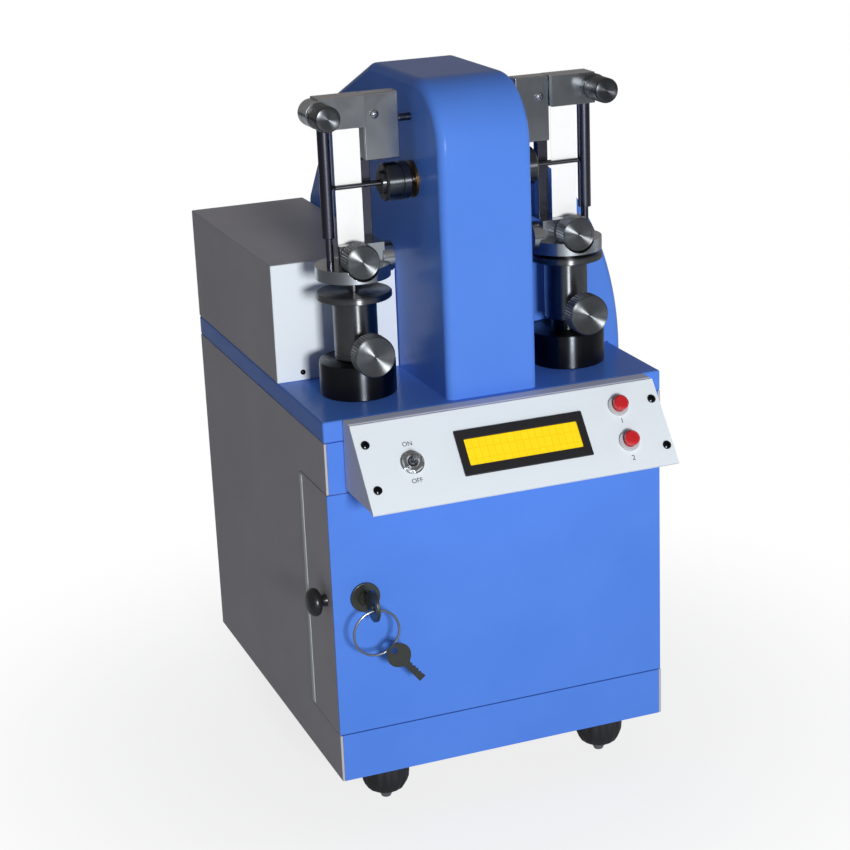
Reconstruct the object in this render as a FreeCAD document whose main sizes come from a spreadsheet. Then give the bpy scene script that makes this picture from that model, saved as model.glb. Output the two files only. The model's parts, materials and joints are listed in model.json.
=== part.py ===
import FreeCAD, Part
import math
import os
import Sketcher

# Folding endurance tester, bench size, with two test stations.
# X runs along the cabinet's width from its middle plane, Y runs from front to back, Z is up.
# The origin is on the surface the tester stands on, under the middle of its outline.

doc = FreeCAD.newDocument("folding_endurance_tester")
sheet = doc.addObject("Spreadsheet::Sheet", "Sizes")

SIZES = [
    # Cabinet
    ("cabinet_width", 200, "outside width of the cabinet and deck"),
    ("cabinet_depth", 245, "outside depth of the cabinet and deck"),
    ("cabinet_height", 200, "from the base pan's underside to the deck's underside"),
    ("deck_thick", 12, "deck plate"),
    ("foot_drop", 26, "from the standing surface to the base pan"),
    ("sheet_wall", 1.5, "cabinet sheet"),
    ("pan_wall", 2, "base pan sheet"),
    ("plinth_rise", 28, "height of the plinth strip under the door"),
    ("header_rise", 29, "height of the header strip over the door"),
    ("rail_return", 10, "depth of the strips' folded flanges"),
    ("jamb_lap", 6, "how far the jamb laps behind the side panel's notch"),
    ("vent_middle", -25, "back vents from the middle plane"),
    ("vent_drop", 40, "highest vent's lower edge below the deck"),
    ("vent_long", 70, "vent slot"),
    ("vent_high", 3, "vent slot"),
    ("vent_pitch", 9, "from one vent slot to the next"),
    ("wire_hole", 10, "radius of the hole in the deck for the drive's wires"),
    ("wire_back", 60, "wire hole behind the control box's front"),
    # Door
    ("door_gap", 0.5, "gap round the door"),
    ("door_skin", 1.2, "blue front sheet"),
    ("door_sheet", 1.2, "door pan sheet"),
    ("flange_reach", 48, "depth of the door's left flange"),
    ("pan_return", 9, "depth of the door pan's other flanges"),
    ("hinge_in", 5, "hidden pivot's axis inside the cabinet's right side"),
    ("hinge_back", 4.2, "hidden pivot's axis behind the cabinet's front plane"),
    ("hinge_flange", 10, "depth of the door's right flange"),
    ("hinge_notch", 11, "how far the right panel stands back beside the door"),
    ("pin_radius", 1.2, "pivot pin"),
    ("pin_long", 5, "pivot pin above its leaf"),
    ("leaf_long", 12.8, "length of a pivot's leaf on its strip's flange"),
    ("leaf_past", 1.8, "leaf's end past the pivot's axis"),
    ("leaf_back", 1, "leaf's middle behind the pivot's axis"),
    ("leaf_wide", 6, "width of a pivot's leaf"),
    ("leaf_thick", 1, "pivot leaf"),
    ("ball_radius", 8, "mushroom knob on the door flange"),
    ("ball_neck", 3.5, "neck of the mushroom knob"),
    ("ball_reach", 11, "how far the mushroom knob stands out"),
    ("ball_back", 12, "mushroom knob behind the front plane"),
    ("lock_rise", 109, "lock axis above the base pan"),
    ("lock_inset", 18.6, "lock axis from the cabinet's left side"),
    ("lock_flange", 8.5, "radius of the lock's front flange"),
    ("lock_body", 6, "radius of the lock barrel"),
    ("lock_long", 14, "length of the lock barrel behind the flange"),
    ("plug_radius", 4, "radius of the lock plug"),
    ("cam_long", 15, "cam lever from the lock axis to its tip"),
    ("cam_wide", 8, "cam lever width"),
    ("cam_thick", 1.6, "cam lever thickness"),
    ("cam_nut", 3, "radius of the nut behind the cam"),
    ("cam_nut_long", 2, "nut behind the cam"),
    ("strike_reach", 9, "strike tab behind which the cam turns"),
    ("key_bow", 9, "radius of the key's bow"),
    ("key_thick", 2, "key blade and bow thickness"),
    ("bow_hole", 2.6, "radius of the hole in the key's bow"),
    ("ring_radius", 13, "key ring, middle of its wire"),
    ("ring_wire", 0.7, "key ring wire radius"),
    # Console
    ("console_width", 178, "slanted console"),
    ("console_reach", 43.5, "console's lower edge in front of the cabinet"),
    ("console_drop", 39.5, "console's height below the deck's top"),
    ("console_shelf", 11.6, "flat top of the console"),
    ("console_wall", 1.5, "console housing sheet"),
    ("panel_thick", 2, "slanted panel plate"),
    ("lcd_length", 75, "display bezel"),
    ("lcd_height", 26, "display bezel"),
    ("lcd_centre", 3.5, "display centre right of the middle"),
    ("window_length", 66, "display window"),
    ("window_height", 15, "display window"),
    ("toggle_place", -60.5, "toggle switch from the middle"),
    ("button_place", 63.5, "push buttons from the middle"),
    ("upper_drop", 13, "upper button's centre below the panel's top edge"),
    ("lower_drop", 34, "lower button's centre below the panel's top edge"),
    ("button_radius", 4.2, "push button cap"),
    ("button_cap", 3, "height of a push button's cap"),
    ("button_stem", 2.5, "how far a push button's stem starts inside the panel"),
    ("bush_radius", 5.8, "switch bush"),
    ("bush_stand", 1.8, "switch bush above the panel"),
    ("running_fit", 0.06, "radial clearance of what turns or slides"),
    ("button_travel", 2, "push button travel"),
    ("switch_body", 12, "depth of the switches behind the panel"),
    ("lever_radius", 1.5, "toggle lever at its root"),
    ("lever_long", 11, "toggle lever above its bush"),
    ("lever_ball", 2.3, "toggle lever's ball"),
    # Tower hood, control box, motor cover
    ("hood_width", 53, "tower hood"),
    ("hood_setback", 3.6, "hood's front behind the deck's front edge"),
    ("hood_height", 170, "hood above the deck"),
    ("hood_depth", 234, "hood at the deck"),
    ("hood_brow", 36, "radius of the hood's front brow"),
    ("hood_flat", 104, "where the flat top ends, from the hood's front"),
    ("hood_shoulder", 172, "where the rear slope starts, from the hood's front"),
    ("hood_shoulder_rise", 143, "height where the rear slope starts"),
    ("hood_wall", 5, "cast hood wall"),
    ("hood_edge", 4.5, "rounding of the hood's long edges"),
    ("box_setback", 79, "control box front behind the deck's front edge"),
    ("box_height", 68, "control box"),
    ("box_gap", 0.4, "gap between the hood and what stands beside it"),
    ("box_wall", 1.5, "control box and motor cover sheet"),
    ("cover_setback", 67, "motor cover front behind the deck's front edge"),
    ("cover_depth", 124, "motor cover"),
    ("cover_overhang", 11, "motor cover beyond the deck's right side"),
    ("cover_skirt", 7, "motor cover below the deck's top"),
    ("cover_rise", 123, "motor cover above the deck at the hood"),
    ("cover_edge", 10, "rounding of the motor cover's front edge"),
    # Drive
    ("axis_height", 115, "folding axis above the deck"),
    ("axis_back", 45, "folding axis behind the deck's front edge"),
    ("shaft_radius", 4, "through shaft"),
    ("bearing_radius", 8, "bearing bush outside"),
    ("bearing_flange", 10, "bearing bush flange"),
    ("flange_thick", 1.5, "bearing bush flange"),
    ("hub_radius", 10.5, "folding hub"),
    ("hub_start", 30, "folding hub's inner face from the middle"),
    ("hub_long", 14, "folding hub"),
    ("pin_spread", 1.7, "folding pin's axis from the folding axis"),
    ("fold_pin", 1.2, "folding pin radius"),
    ("pin_short", 0.4, "folding pin's end short of the outer post"),
    ("pulley_wide", 12, "driven and motor pulley"),
    ("driven_radius", 24, "driven pulley, tooth roots"),
    ("drive_radius", 12, "motor pulley, tooth roots"),
    ("pulley_flange", 2.5, "pulley flange beyond the tooth roots"),
    ("flange_wide", 1.2, "pulley flange thickness"),
    ("belt_gap", 0.2, "belt clear of the pulley roots"),
    ("belt_thick", 1.8, "belt"),
    ("belt_wide", 8, "belt"),
    ("motor_back", 125, "motor axis behind the deck's front edge"),
    ("motor_height", 40, "motor axis above the deck"),
    ("motor_side", 56, "square motor body"),
    ("motor_long", 54, "motor body"),
    ("motor_shaft", 3.2, "motor shaft radius"),
    ("axle_deep", 20, "motor shaft inside the motor"),
    # Stations
    ("strip_place", 63.5, "strip's and load column's middle from the middle plane"),
    ("strip_width", 15, "paper strip"),
    ("strip_thick", 0.2, "paper strip"),
    ("fold_half", 4, "half length of the folding stretch"),
    ("post_place", 76, "outer post from the middle plane"),
    ("post_radius", 3.6, "outer post"),
    ("post_end", 88, "height above the deck where the outer post narrows to its guide pin"),
    ("guide_pin", 2.1, "guide pin under the outer post, radius"),
    ("bar_place", 52.5, "inner guide bar's axis from the middle plane"),
    ("bar_back", 6.5, "inner guide bar's axis behind the folding axis"),
    ("bar_side", 6, "inner guide bar, square"),
    ("plate_inner", 34, "bracket plate's inner edge from the middle plane"),
    ("plate_outer", 54, "bracket plate's outer edge"),
    ("plate_bottom", 2.5, "bracket plate's lower edge above the folding hub"),
    ("plate_front", 3, "bracket plate's front, in front of the folding axis"),
    ("plate_thick", 10, "bracket plate"),
    ("clamp_bottom", 32, "clamp block's underside above the folding axis"),
    ("clamp_top", 49, "clamp block's top above the folding axis"),
    ("clamp_boss", 7.4, "round boss at the clamp's outer end"),
    ("clamp_front", 7, "clamp block and jaw in front of the strip"),
    ("slot_deep", 10, "strip's length inside a clamp"),
    ("slot_wide", 0.6, "gap between a clamp's two halves, and the jaw's slot"),
    ("knob_place", 80, "clamp knob's axis from the middle plane"),
    ("knob_height", 40.5, "clamp knob's axis above the folding axis"),
    ("clamp_knob", 6.9, "clamp knob radius"),
    ("clamp_knob_long", 15, "clamp knob"),
    ("stem_radius", 2.5, "thumb screw"),
    ("stem_bite", 9, "clamp screw inside its block"),
    ("jaw_bite", 5.5, "jaw screw inside the jaw"),
    ("post_seat", 3, "outer post inside the clamp"),
    ("knob_gap", 0.3, "knob face clear of its block"),
    ("tie_height", 34, "tie rod's axis above the folding axis"),
    ("tie_radius", 2, "tie rod"),
    ("jaw_bottom", 65.5, "jaw flange's underside above the deck"),
    ("jaw_flange", 20.7, "jaw flange radius"),
    ("jaw_flange_thick", 7, "jaw flange"),
    ("jaw_top", 84, "jaw above the deck"),
    ("jaw_inner", 47, "jaw's inner end from the middle plane"),
    ("jaw_outer", 72.5, "jaw's outer end"),
    ("jaw_rear", 11.5, "jaw behind the strip"),
    ("jaw_wheel", 8.5, "radius of the round boss on the jaw's inner end"),
    ("jaw_wheel_long", 5.5, "length of the round boss"),
    ("jaw_knob_height", 76.7, "jaw knob's axis above the deck"),
    ("jaw_knob", 9.6, "jaw knob radius"),
    ("jaw_knob_long", 12, "jaw knob"),
    ("jaw_travel", 1.8, "how far a jaw drops on its spring"),
    ("rod_radius", 2, "jaw rod"),
    ("seat_height", 15, "spring seat's top above the deck"),
    ("seat_radius", 5.4, "spring seat"),
    ("seat_thick", 2, "spring seat"),
    ("base_radius", 21.3, "station base"),
    ("base_height", 19.5, "station base"),
    ("mast_radius", 8.6, "mast inside the load sleeve"),
    ("mast_bore", 6, "bore of the mast"),
    ("mast_top", 44, "mast above the deck"),
    ("mast_floor", 9, "floor of the mast's bore above the deck"),
    ("sleeve_radius", 12.2, "load sleeve"),
    ("sleeve_start", 0.5, "left load sleeve's lower end above its base"),
    ("disc_thick", 3.5, "load disc"),
    ("disc_radius", 20.9, "load disc"),
    ("disc_bore", 2.3, "hole for the jaw rod"),
    ("lift_right", 6, "right load sleeve set higher than the left"),
    ("lock_knob_height", 27.3, "left lock knob's axis above the deck"),
    ("lock_knob", 11.5, "lock knob radius"),
    ("lock_knob_long", 10, "lock knob"),
    ("spring_wire", 0.5, "load spring wire radius"),
    ("spring_coil", 4.2, "load spring, middle of the wire"),
    # Feet and inlet
    ("foot_inset_x", 32, "foot from the cabinet's side"),
    ("foot_inset_y", 20, "foot from the cabinet's front or back"),
    ("foot_radius", 14, "foot knob"),
    ("foot_knob_rise", 20, "foot knob"),
    ("foot_tip", 4.5, "foot screw's pointed end"),
    ("foot_screw", 4, "foot screw in the base pan"),
    ("foot_screw_top", 12, "foot screw above the base pan's underside"),
    ("inlet_place", 38, "mains inlet's middle from the cabinet's right side"),
    ("inlet_rise", 30, "mains inlet's middle above the base pan"),
    ("inlet_width", 48, "mains inlet's face"),
    ("inlet_height", 28, "mains inlet's face"),
    ("socket_width", 25, "mains socket"),
    ("socket_height", 17, "mains socket"),
    ("socket_deep", 17, "mains socket"),
    ("supply_long", 90, "supply box behind the inlet"),
]

for row, (alias, number, note) in enumerate(SIZES, start=1):
    sheet.set("A%d" % row, alias)
    sheet.set("B%d" % row, str(number))
    sheet.setAlias("B%d" % row, alias)
    sheet.set("C%d" % row, note)
doc.recompute()

V = FreeCAD.Vector
parts = {}


def sized(formula):
    """A formula over bare aliases, with each alias tied to the sheet."""
    words = []
    token = ""
    for letter in formula + " ":
        if letter.isalnum() or letter in "_.":
            token += letter
            continue
        words.append("Sizes." + token if token in ALIASES else token)
        words.append(letter)
        token = ""
    return "".join(words).strip()


ALIASES = {alias for alias, number, note in SIZES}

# Places worked out from the sizes
FRONT = "(-(cabinet_depth - console_reach) / 2)"
BACK = "(%s + cabinet_depth)" % FRONT
HALF = "(cabinet_width / 2)"
FLOOR = "foot_drop"
UNDER_DECK = "(foot_drop + cabinet_height)"
DECK = "(foot_drop + cabinet_height + deck_thick)"
AXIS_Y = "(%s + axis_back)" % FRONT
AXIS_Z = "(%s + axis_height)" % DECK


def number_of(formula):
    return float(sheet.evalExpression(sized(formula)))


def tie(thing, **formulas):
    """Binds properties to formulas over the sheet."""
    for prop, formula in formulas.items():
        thing.setExpression(prop, sized(formula))


def put(thing, x="0", y="0", z="0", turn=None):
    """Places a thing by formulas, turned by a fixed rotation if one is given."""
    if turn is not None:
        thing.Placement = FreeCAD.Placement(V(0, 0, 0), turn)
    for axis, formula in (("x", x), ("y", y), ("z", z)):
        thing.setExpression("Placement.Base." + axis, sized(formula))
    return thing


def block(name, x, y, z, length, width, height):
    """A box from its lowest corner."""
    box = doc.addObject("Part::Box", name)
    tie(box, Length=length, Width=width, Height=height)
    return put(box, x, y, z)


ALONG_X = FreeCAD.Rotation(V(0, 1, 0), 90)
ALONG_Y = FreeCAD.Rotation(V(1, 0, 0), -90)
TOWARDS_FRONT = FreeCAD.Rotation(V(1, 0, 0), 90)


def rod(name, x, y, z, radius, height, turn=None):
    """A cylinder from the middle of its first end, along Z or turned."""
    bar = doc.addObject("Part::Cylinder", name)
    tie(bar, Radius=radius, Height=height)
    return put(bar, x, y, z, turn)


def joined(name, *pieces):
    fuse = doc.addObject("Part::MultiFuse", name)
    fuse.Shapes = list(pieces)
    fuse.Refine = True
    return fuse


def cut(name, base, *tools):
    """The base less each tool."""
    result = base
    for count, tool in enumerate(tools):
        step = doc.addObject("Part::Cut", "%s_%d" % (name, count))
        step.Base = result
        step.Tool = tool
        step.Refine = True
        result = step
    return result


def mirrored(name, piece):
    """The same piece on the other side of the middle plane."""
    copy = doc.addObject("Part::Mirroring", name)
    copy.Source = piece
    copy.Base = V(0, 0, 0)
    copy.Normal = V(1, 0, 0)
    return copy


def group(name, *pieces):
    """Separate solids of one node."""
    bundle = doc.addObject("Part::Compound", name)
    bundle.Links = list(pieces)
    return bundle


def node(name, thing):
    """Names a finished piece."""
    thing.Label = name
    parts[name] = thing
    return thing


def outline(body, name, plane, corners):
    """A closed sketch of straight lines, with every corner dimensioned from the origin."""
    sketch = body.newObject("Sketcher::SketchObject", name)
    origin_plane = [o for o in body.Origin.OriginFeatures if o.Role == plane][0]
    sketch.AttachmentSupport = [(origin_plane, "")]
    sketch.MapMode = "FlatFace"
    seeds = [(number_of(a), number_of(b)) for a, b in corners]
    count = len(seeds)
    for i, (a, b) in enumerate(seeds):
        c, d = seeds[(i + 1) % count]
        sketch.addGeometry(Part.LineSegment(V(a, b, 0), V(c, d, 0)), False)
    for i in range(count):
        sketch.addConstraint(Sketcher.Constraint("Coincident", i, 2, (i + 1) % count, 1))
    for i, corner in enumerate(corners):
        for kind, axis, formula, seed in (("DistanceX", -2, corner[0], seeds[i][0]),
                                          ("DistanceY", -1, corner[1], seeds[i][1])):
            if formula == "0":
                sketch.addConstraint(Sketcher.Constraint("PointOnObject", i, 1, axis))
                continue
            made = sketch.addConstraint(Sketcher.Constraint(kind, -1, 1, i, 1, seed))
            label = "%s%d" % ("across" if kind == "DistanceX" else "up", i)
            sketch.renameConstraint(made, label)
            sketch.setExpression("Constraints." + label, sized(formula))
    return sketch


def extruded(name, plane, corners, length):
    """A body padded from an outline along its plane's normal."""
    body = doc.addObject("PartDesign::Body", name)
    sketch = outline(body, name + "_outline", plane, corners)
    pad = body.newObject("PartDesign::Pad", name + "_pad")
    pad.Profile = sketch
    tie(pad, Length=length)
    body.Tip = pad
    return body


def turned(name, corners):
    """A body turned about its own Z axis from an outline of radius and height."""
    body = doc.addObject("PartDesign::Body", name)
    sketch = outline(body, name + "_outline", "XZ_Plane", corners)
    spin = body.newObject("PartDesign::Revolution", name + "_turned")
    spin.Profile = sketch
    spin.ReferenceAxis = (sketch, ["V_Axis"])
    spin.Angle = 360
    body.Tip = spin
    return body


def rounded(body, name, radius, wanted):
    """Rounds the edges of a body's tip that a test picks."""
    doc.recompute()
    base = body.Tip
    names = ["Edge%d" % (i + 1) for i, e in enumerate(base.Shape.Edges) if wanted(e)]
    fillet = body.newObject("PartDesign::Fillet", name)
    fillet.Base = (base, names)
    tie(fillet, Radius=radius)
    body.Tip = fillet
    return body


def along(edge, axis):
    """Whether an edge is a straight line along an axis."""
    if edge.Curve.TypeId != "Part::GeomLine":
        return False
    return abs(edge.Curve.Direction.dot(axis)) > 0.999


# Cabinet: base pan, side panels, back, front strips and the thick deck
INSIDE = "(%s - sheet_wall)" % HALF
pan = block("pan_sheet", "-" + INSIDE, FRONT + " + sheet_wall", FLOOR, "2 * " + INSIDE,
            "cabinet_depth - 2 * sheet_wall", "pan_wall")
FOOT_X = "(%s - foot_inset_x)" % HALF
FOOT_FRONT = "(%s + foot_inset_y)" % FRONT
FOOT_BACK = "(%s - foot_inset_y)" % BACK
foot_places = [("foot_front_left", "-" + FOOT_X, FOOT_FRONT), ("foot_front_right", FOOT_X, FOOT_FRONT),
               ("foot_rear_left", "-" + FOOT_X, FOOT_BACK), ("foot_rear_right", FOOT_X, FOOT_BACK)]
bosses = []
holes = []
for label, foot_x, foot_y in foot_places:
    bosses.append(rod(label + "_boss", foot_x, foot_y, FLOOR, "2 * foot_screw", "foot_screw_top - 2"))
    holes.append(rod(label + "_hole", foot_x, foot_y, FLOOR + " - 1", "foot_screw + running_fit",
                     "foot_screw_top + 2"))
node("base_pan", cut("base_pan_holes", joined("base_pan_bosses", pan, *bosses), *holes))

NOTCH_BACK = "(flange_reach + door_gap)"


def side_skin(name, notch):
    """A side panel's sheet, standing back beside the door between the two strips."""
    return extruded(name, "YZ_Plane", [
        ("0", "0"), ("cabinet_depth", "0"), ("cabinet_depth", "cabinet_height"),
        ("0", "cabinet_height"), ("0", "cabinet_height - header_rise"),
        (notch, "cabinet_height - header_rise"), (notch, "plinth_rise"), ("0", "plinth_rise")],
        "sheet_wall")


left_skin = put(side_skin("left_skin", NOTCH_BACK), "-" + HALF, FRONT, FLOOR)
left_jamb = block("left_jamb", "-%s + sheet_wall" % HALF, FRONT + " + rail_return + sheet_wall",
                  FLOOR + " + plinth_rise - jamb_lap", "sheet_wall",
                  NOTCH_BACK + " + jamb_lap - rail_return - sheet_wall",
                  "cabinet_height - header_rise - plinth_rise + 2 * jamb_lap")
strike = block("strike", "-%s + 2 * sheet_wall - 0.5" % HALF, FRONT + " + rail_return + sheet_wall",
               FLOOR + " + lock_rise - cam_wide", "strike_reach", "sheet_wall", "2 * cam_wide")
node("left_side_panel", joined("left_side", left_skin, left_jamb, strike))

node("right_side_panel", put(side_skin("right_skin", "hinge_notch"), INSIDE, FRONT, FLOOR))

INLET_X = "(%s - inlet_place)" % HALF
INLET_Z = "(%s + inlet_rise)" % FLOOR
back_sheet = block("back_sheet", "-" + INSIDE, BACK + " - sheet_wall", FLOOR + " + pan_wall",
                   "2 * " + INSIDE, "sheet_wall", "cabinet_height - pan_wall")
inlet_hole = block("inlet_hole", INLET_X + " - inlet_width / 2 + 2", BACK + " - 2 * sheet_wall",
                   INLET_Z + " - inlet_height / 2 + 2", "inlet_width - 4", "3 * sheet_wall",
                   "inlet_height - 4")
vents = []
VENTS = 5
for i in range(VENTS):
    vents.append(block("vent_%d" % i, "vent_middle - vent_long / 2", BACK + " - 2 * sheet_wall",
                       FLOOR + " + cabinet_height - vent_drop - %d * vent_pitch" % i, "vent_long",
                       "3 * sheet_wall", "vent_high"))
node("back_panel", cut("back_panel_cut", back_sheet, inlet_hole, *vents))


def strip(name, low, rise, flange_at):
    """A front strip with a folded flange, between the side panels."""
    face = block(name + "_face", "-" + INSIDE, FRONT, low, "2 * " + INSIDE, "sheet_wall", rise)
    flange = block(name + "_flange", "-%s + 2 * sheet_wall" % HALF, FRONT + " + sheet_wall - 0.2",
                   flange_at, "cabinet_width - 4 * sheet_wall", "rail_return", "sheet_wall")
    return joined(name, face, flange)


plinth = strip("plinth", FLOOR, "plinth_rise", FLOOR + " + plinth_rise - sheet_wall")
header = strip("header", FLOOR + " + cabinet_height - header_rise", "header_rise",
               FLOOR + " + cabinet_height - header_rise")
pin_hole = rod("strip_pin_hole", "%s - hinge_in" % HALF, FRONT + " + hinge_back", FLOOR,
               "pin_radius + running_fit", "cabinet_height")
node("front_rails", group("front_rails_pair", cut("plinth_holed", plinth, pin_hole),
                          cut("header_holed", header, pin_hole)))

deck = block("deck_slab", "-" + HALF, FRONT, UNDER_DECK, "cabinet_width", "cabinet_depth", "deck_thick")
wire_hole = rod("deck_wire_hole", "0", FRONT + " + box_setback + wire_back", UNDER_DECK + " - 1",
                "wire_hole", "deck_thick + 2")
node("deck_plate", cut("deck_bored", deck, wire_hole))

# Door: pan with a deep left flange, front sheet, knob, hinges and lock
DOOR_Z = "(%s + plinth_rise + door_gap)" % FLOOR
DOOR_RISE = "(cabinet_height - header_rise - plinth_rise - 2 * door_gap)"
DOOR_LEFT = "(-%s)" % HALF
DOOR_LONG = "(cabinet_width - door_gap)"
door_skin = block("door_skin_sheet", DOOR_LEFT, FRONT, DOOR_Z, DOOR_LONG, "door_skin", DOOR_RISE)
PAN_Y = "(%s + door_skin)" % FRONT
pan_face = block("pan_face", DOOR_LEFT, PAN_Y, DOOR_Z, DOOR_LONG, "door_sheet", DOOR_RISE)
pan_left = block("pan_left", DOOR_LEFT, PAN_Y, DOOR_Z, "door_sheet", "flange_reach - door_skin",
                 DOOR_RISE)
pan_right = block("pan_right", HALF + " - door_gap - door_sheet", PAN_Y, DOOR_Z, "door_sheet",
                  "hinge_flange - door_skin", DOOR_RISE)
pan_bottom = block("pan_bottom", DOOR_LEFT + " + jamb_lap", PAN_Y, DOOR_Z, DOOR_LONG + " - jamb_lap",
                   "pan_return", "door_sheet")
pan_top = block("pan_top", DOOR_LEFT + " + jamb_lap", PAN_Y, "%s + %s - door_sheet" % (DOOR_Z, DOOR_RISE),
                DOOR_LONG + " - jamb_lap", "pan_return", "door_sheet")
HINGE_X = "(%s - hinge_in)" % HALF
HINGE_Y = "(%s + hinge_back)" % FRONT
pivot_bore = rod("pivot_bore", HINGE_X, HINGE_Y, FLOOR, "pin_radius + running_fit", "cabinet_height")


def pivot(name, leaf_low, pin_low, pin_high):
    """A leaf lying on its strip's flange, with the pin that the door turns on."""
    leaf = block(name + "_leaf", HINGE_X + " + leaf_past - leaf_long",
                 HINGE_Y + " + leaf_back - leaf_wide / 2", leaf_low, "leaf_long", "leaf_wide", "leaf_thick")
    pin = rod(name + "_pin", HINGE_X, HINGE_Y, pin_low, "pin_radius", "%s - (%s)" % (pin_high, pin_low))
    return joined(name, leaf, pin)


PLINTH_TOP = "(%s + plinth_rise)" % FLOOR
HEADER_LOW = "(%s + cabinet_height - header_rise)" % FLOOR
low_pivot = pivot("low_pivot", PLINTH_TOP + " - sheet_wall - leaf_thick",
                  PLINTH_TOP + " - sheet_wall - leaf_thick", PLINTH_TOP + " + pin_long")
high_pivot = pivot("high_pivot", HEADER_LOW + " + sheet_wall", HEADER_LOW + " - pin_long",
                   HEADER_LOW + " + sheet_wall + leaf_thick")
node("hinge_leaves", group("hinge_pair", low_pivot, high_pivot))

LOCK_X = "(-%s + lock_inset)" % HALF
LOCK_Z = "(%s + lock_rise)" % FLOOR
lock_hole = rod("lock_hole", LOCK_X, FRONT + " - 1", LOCK_Z, "lock_body", "6", ALONG_Y)
node("door_front", cut("door_front_bored", door_skin, lock_hole))
door_pan = joined("door_pan_sheets", pan_face, pan_left, pan_right, pan_bottom, pan_top)
node("door_pan", cut("door_pan_bored", door_pan, lock_hole, pivot_bore))

ball = turned("ball_knob", [
    ("0", "0"), ("ball_neck", "0"), ("ball_neck", "ball_reach * 0.3"),
    ("ball_radius * 0.8", "ball_reach * 0.34"), ("ball_radius", "ball_reach * 0.52"),
    ("ball_radius * 0.94", "ball_reach * 0.74"), ("ball_radius * 0.65", "ball_reach * 0.93"),
    ("0", "ball_reach")])
put(ball, "-" + HALF, FRONT + " + ball_back", LOCK_Z + " - 3", FreeCAD.Rotation(V(0, 1, 0), -90))
node("door_knob", ball)

flange = rod("lock_flange_disc", LOCK_X, FRONT, LOCK_Z, "lock_flange", "1.6", TOWARDS_FRONT)
barrel = rod("lock_barrel_body", LOCK_X, FRONT, LOCK_Z, "lock_body", "lock_long", ALONG_Y)
nut = doc.addObject("Part::Prism", "lock_nut")
nut.Polygon = 6
tie(nut, Circumradius="lock_body * 1.5", Height="2.5")
put(nut, LOCK_X, PAN_Y + " + door_sheet", LOCK_Z, ALONG_Y)
plug_bore = rod("plug_bore", LOCK_X, FRONT + " - 3", LOCK_Z, "plug_radius + running_fit",
                "lock_long + 6", ALONG_Y)
node("lock_barrel", cut("lock_barrel_bored", joined("lock_barrel_set", flange, barrel, nut), plug_bore))

plug = rod("plug_core", LOCK_X, FRONT + " - 1.6", LOCK_Z, "plug_radius", "lock_long + 1.8", ALONG_Y)
cam = block("cam_lever", LOCK_X + " - cam_wide / 2", FRONT + " + lock_long + 0.2",
            LOCK_Z + " - cam_wide / 2", "cam_wide", "cam_thick", "cam_long + cam_wide / 2")
cam_nut = rod("cam_nut", LOCK_X, FRONT + " + lock_long + cam_thick + 0.1", LOCK_Z, "cam_nut",
              "cam_nut_long", ALONG_Y)
key_slot = block("key_slot", LOCK_X + " - key_thick / 2 - 0.05", FRONT + " - 2", LOCK_Z + " - 3.1",
                 "key_thick + 0.1", "lock_long - 1", "6.2")
node("lock_plug", cut("lock_plug_slotted", joined("lock_plug_set", plug, cam, cam_nut), key_slot))

blade = block("key_blade", LOCK_X + " - key_thick / 2", FRONT + " - 6", LOCK_Z + " - 3", "key_thick",
              "lock_long + 2", "6")
bow = rod("key_bow_disc", LOCK_X + " - key_thick / 2", FRONT + " - 5 - key_bow", LOCK_Z, "key_bow",
          "key_thick", ALONG_X)
key_eye = rod("key_eye", LOCK_X + " - 3", FRONT + " - 8 - key_bow", LOCK_Z, "bow_hole", "6", ALONG_X)
node("lock_key", cut("lock_key_holed", joined("lock_key_set", blade, bow), key_eye))

ring = doc.addObject("Part::Torus", "key_ring_wire")
tie(ring, Radius1="ring_radius", Radius2="ring_wire")
put(ring, LOCK_X, FRONT + " - 8 - key_bow",
    LOCK_Z + " - bow_hole + ring_wire + running_fit + 0.1 - ring_radius", TOWARDS_FRONT)
node("key_ring", ring)

# Console: wedge housing, slanted panel, display, toggle and two push buttons
SLOPE_RUN = "(console_reach - console_shelf)"
SLOPE = math.degrees(math.atan2(number_of("console_drop"), number_of(SLOPE_RUN)))
SLOPE_LONG = "(sqrt(console_drop * console_drop + %s * %s))" % (SLOPE_RUN, SLOPE_RUN)
LEAN_COS = "(%s / %s)" % (SLOPE_RUN, SLOPE_LONG)
LEAN_SIN = "(console_drop / %s)" % SLOPE_LONG
SET_BACK = "(panel_thick / %s)" % LEAN_SIN


def wedge(name, back, low, high, slope_shift, inset):
    """The console's section, carried across its width; the section is drawn in Y and Z."""
    body = extruded(name, "YZ_Plane", [
        (back, low), (back, high), ("-console_shelf + (%s)" % slope_shift, high),
        ("-console_reach + (%s) + (%s) * %s / console_drop" % (slope_shift, low, SLOPE_RUN), low)],
        "console_width - 2 * (%s)" % inset)
    return put(body, "-console_width / 2 + " + inset, FRONT, DECK + " - console_drop")


wedge_out = wedge("console_outer", "0", "0", "console_drop", SET_BACK, "0")
wedge_in = wedge("console_inner", "-console_wall", "console_wall", "console_drop - console_wall",
                 SET_BACK + " - 3", "console_wall")
node("console_housing", cut("console_housing_shell", wedge_out, wedge_in))

TOP_Y = "(%s - console_shelf)" % FRONT
LEAN = FreeCAD.Rotation(V(1, 0, 0), SLOPE)


def on_panel(thing, across, down, out):
    """Puts a thing on the slanted panel: its X across, its Y up the slope, its Z straight out."""
    y = "%s - (%s) * %s - (%s) * %s" % (TOP_Y, down, LEAN_COS, out, LEAN_SIN)
    z = "%s - (%s) * %s + (%s) * %s" % (DECK, down, LEAN_SIN, out, LEAN_COS)
    return put(thing, across, y, z, LEAN)


def panel_block(name, across, down, out, length, height, thick):
    box = doc.addObject("Part::Box", name)
    tie(box, Length=length, Width=height, Height=thick)
    return on_panel(box, "%s - (%s) / 2" % (across, length), "%s + (%s) / 2" % (down, height), out)


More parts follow.
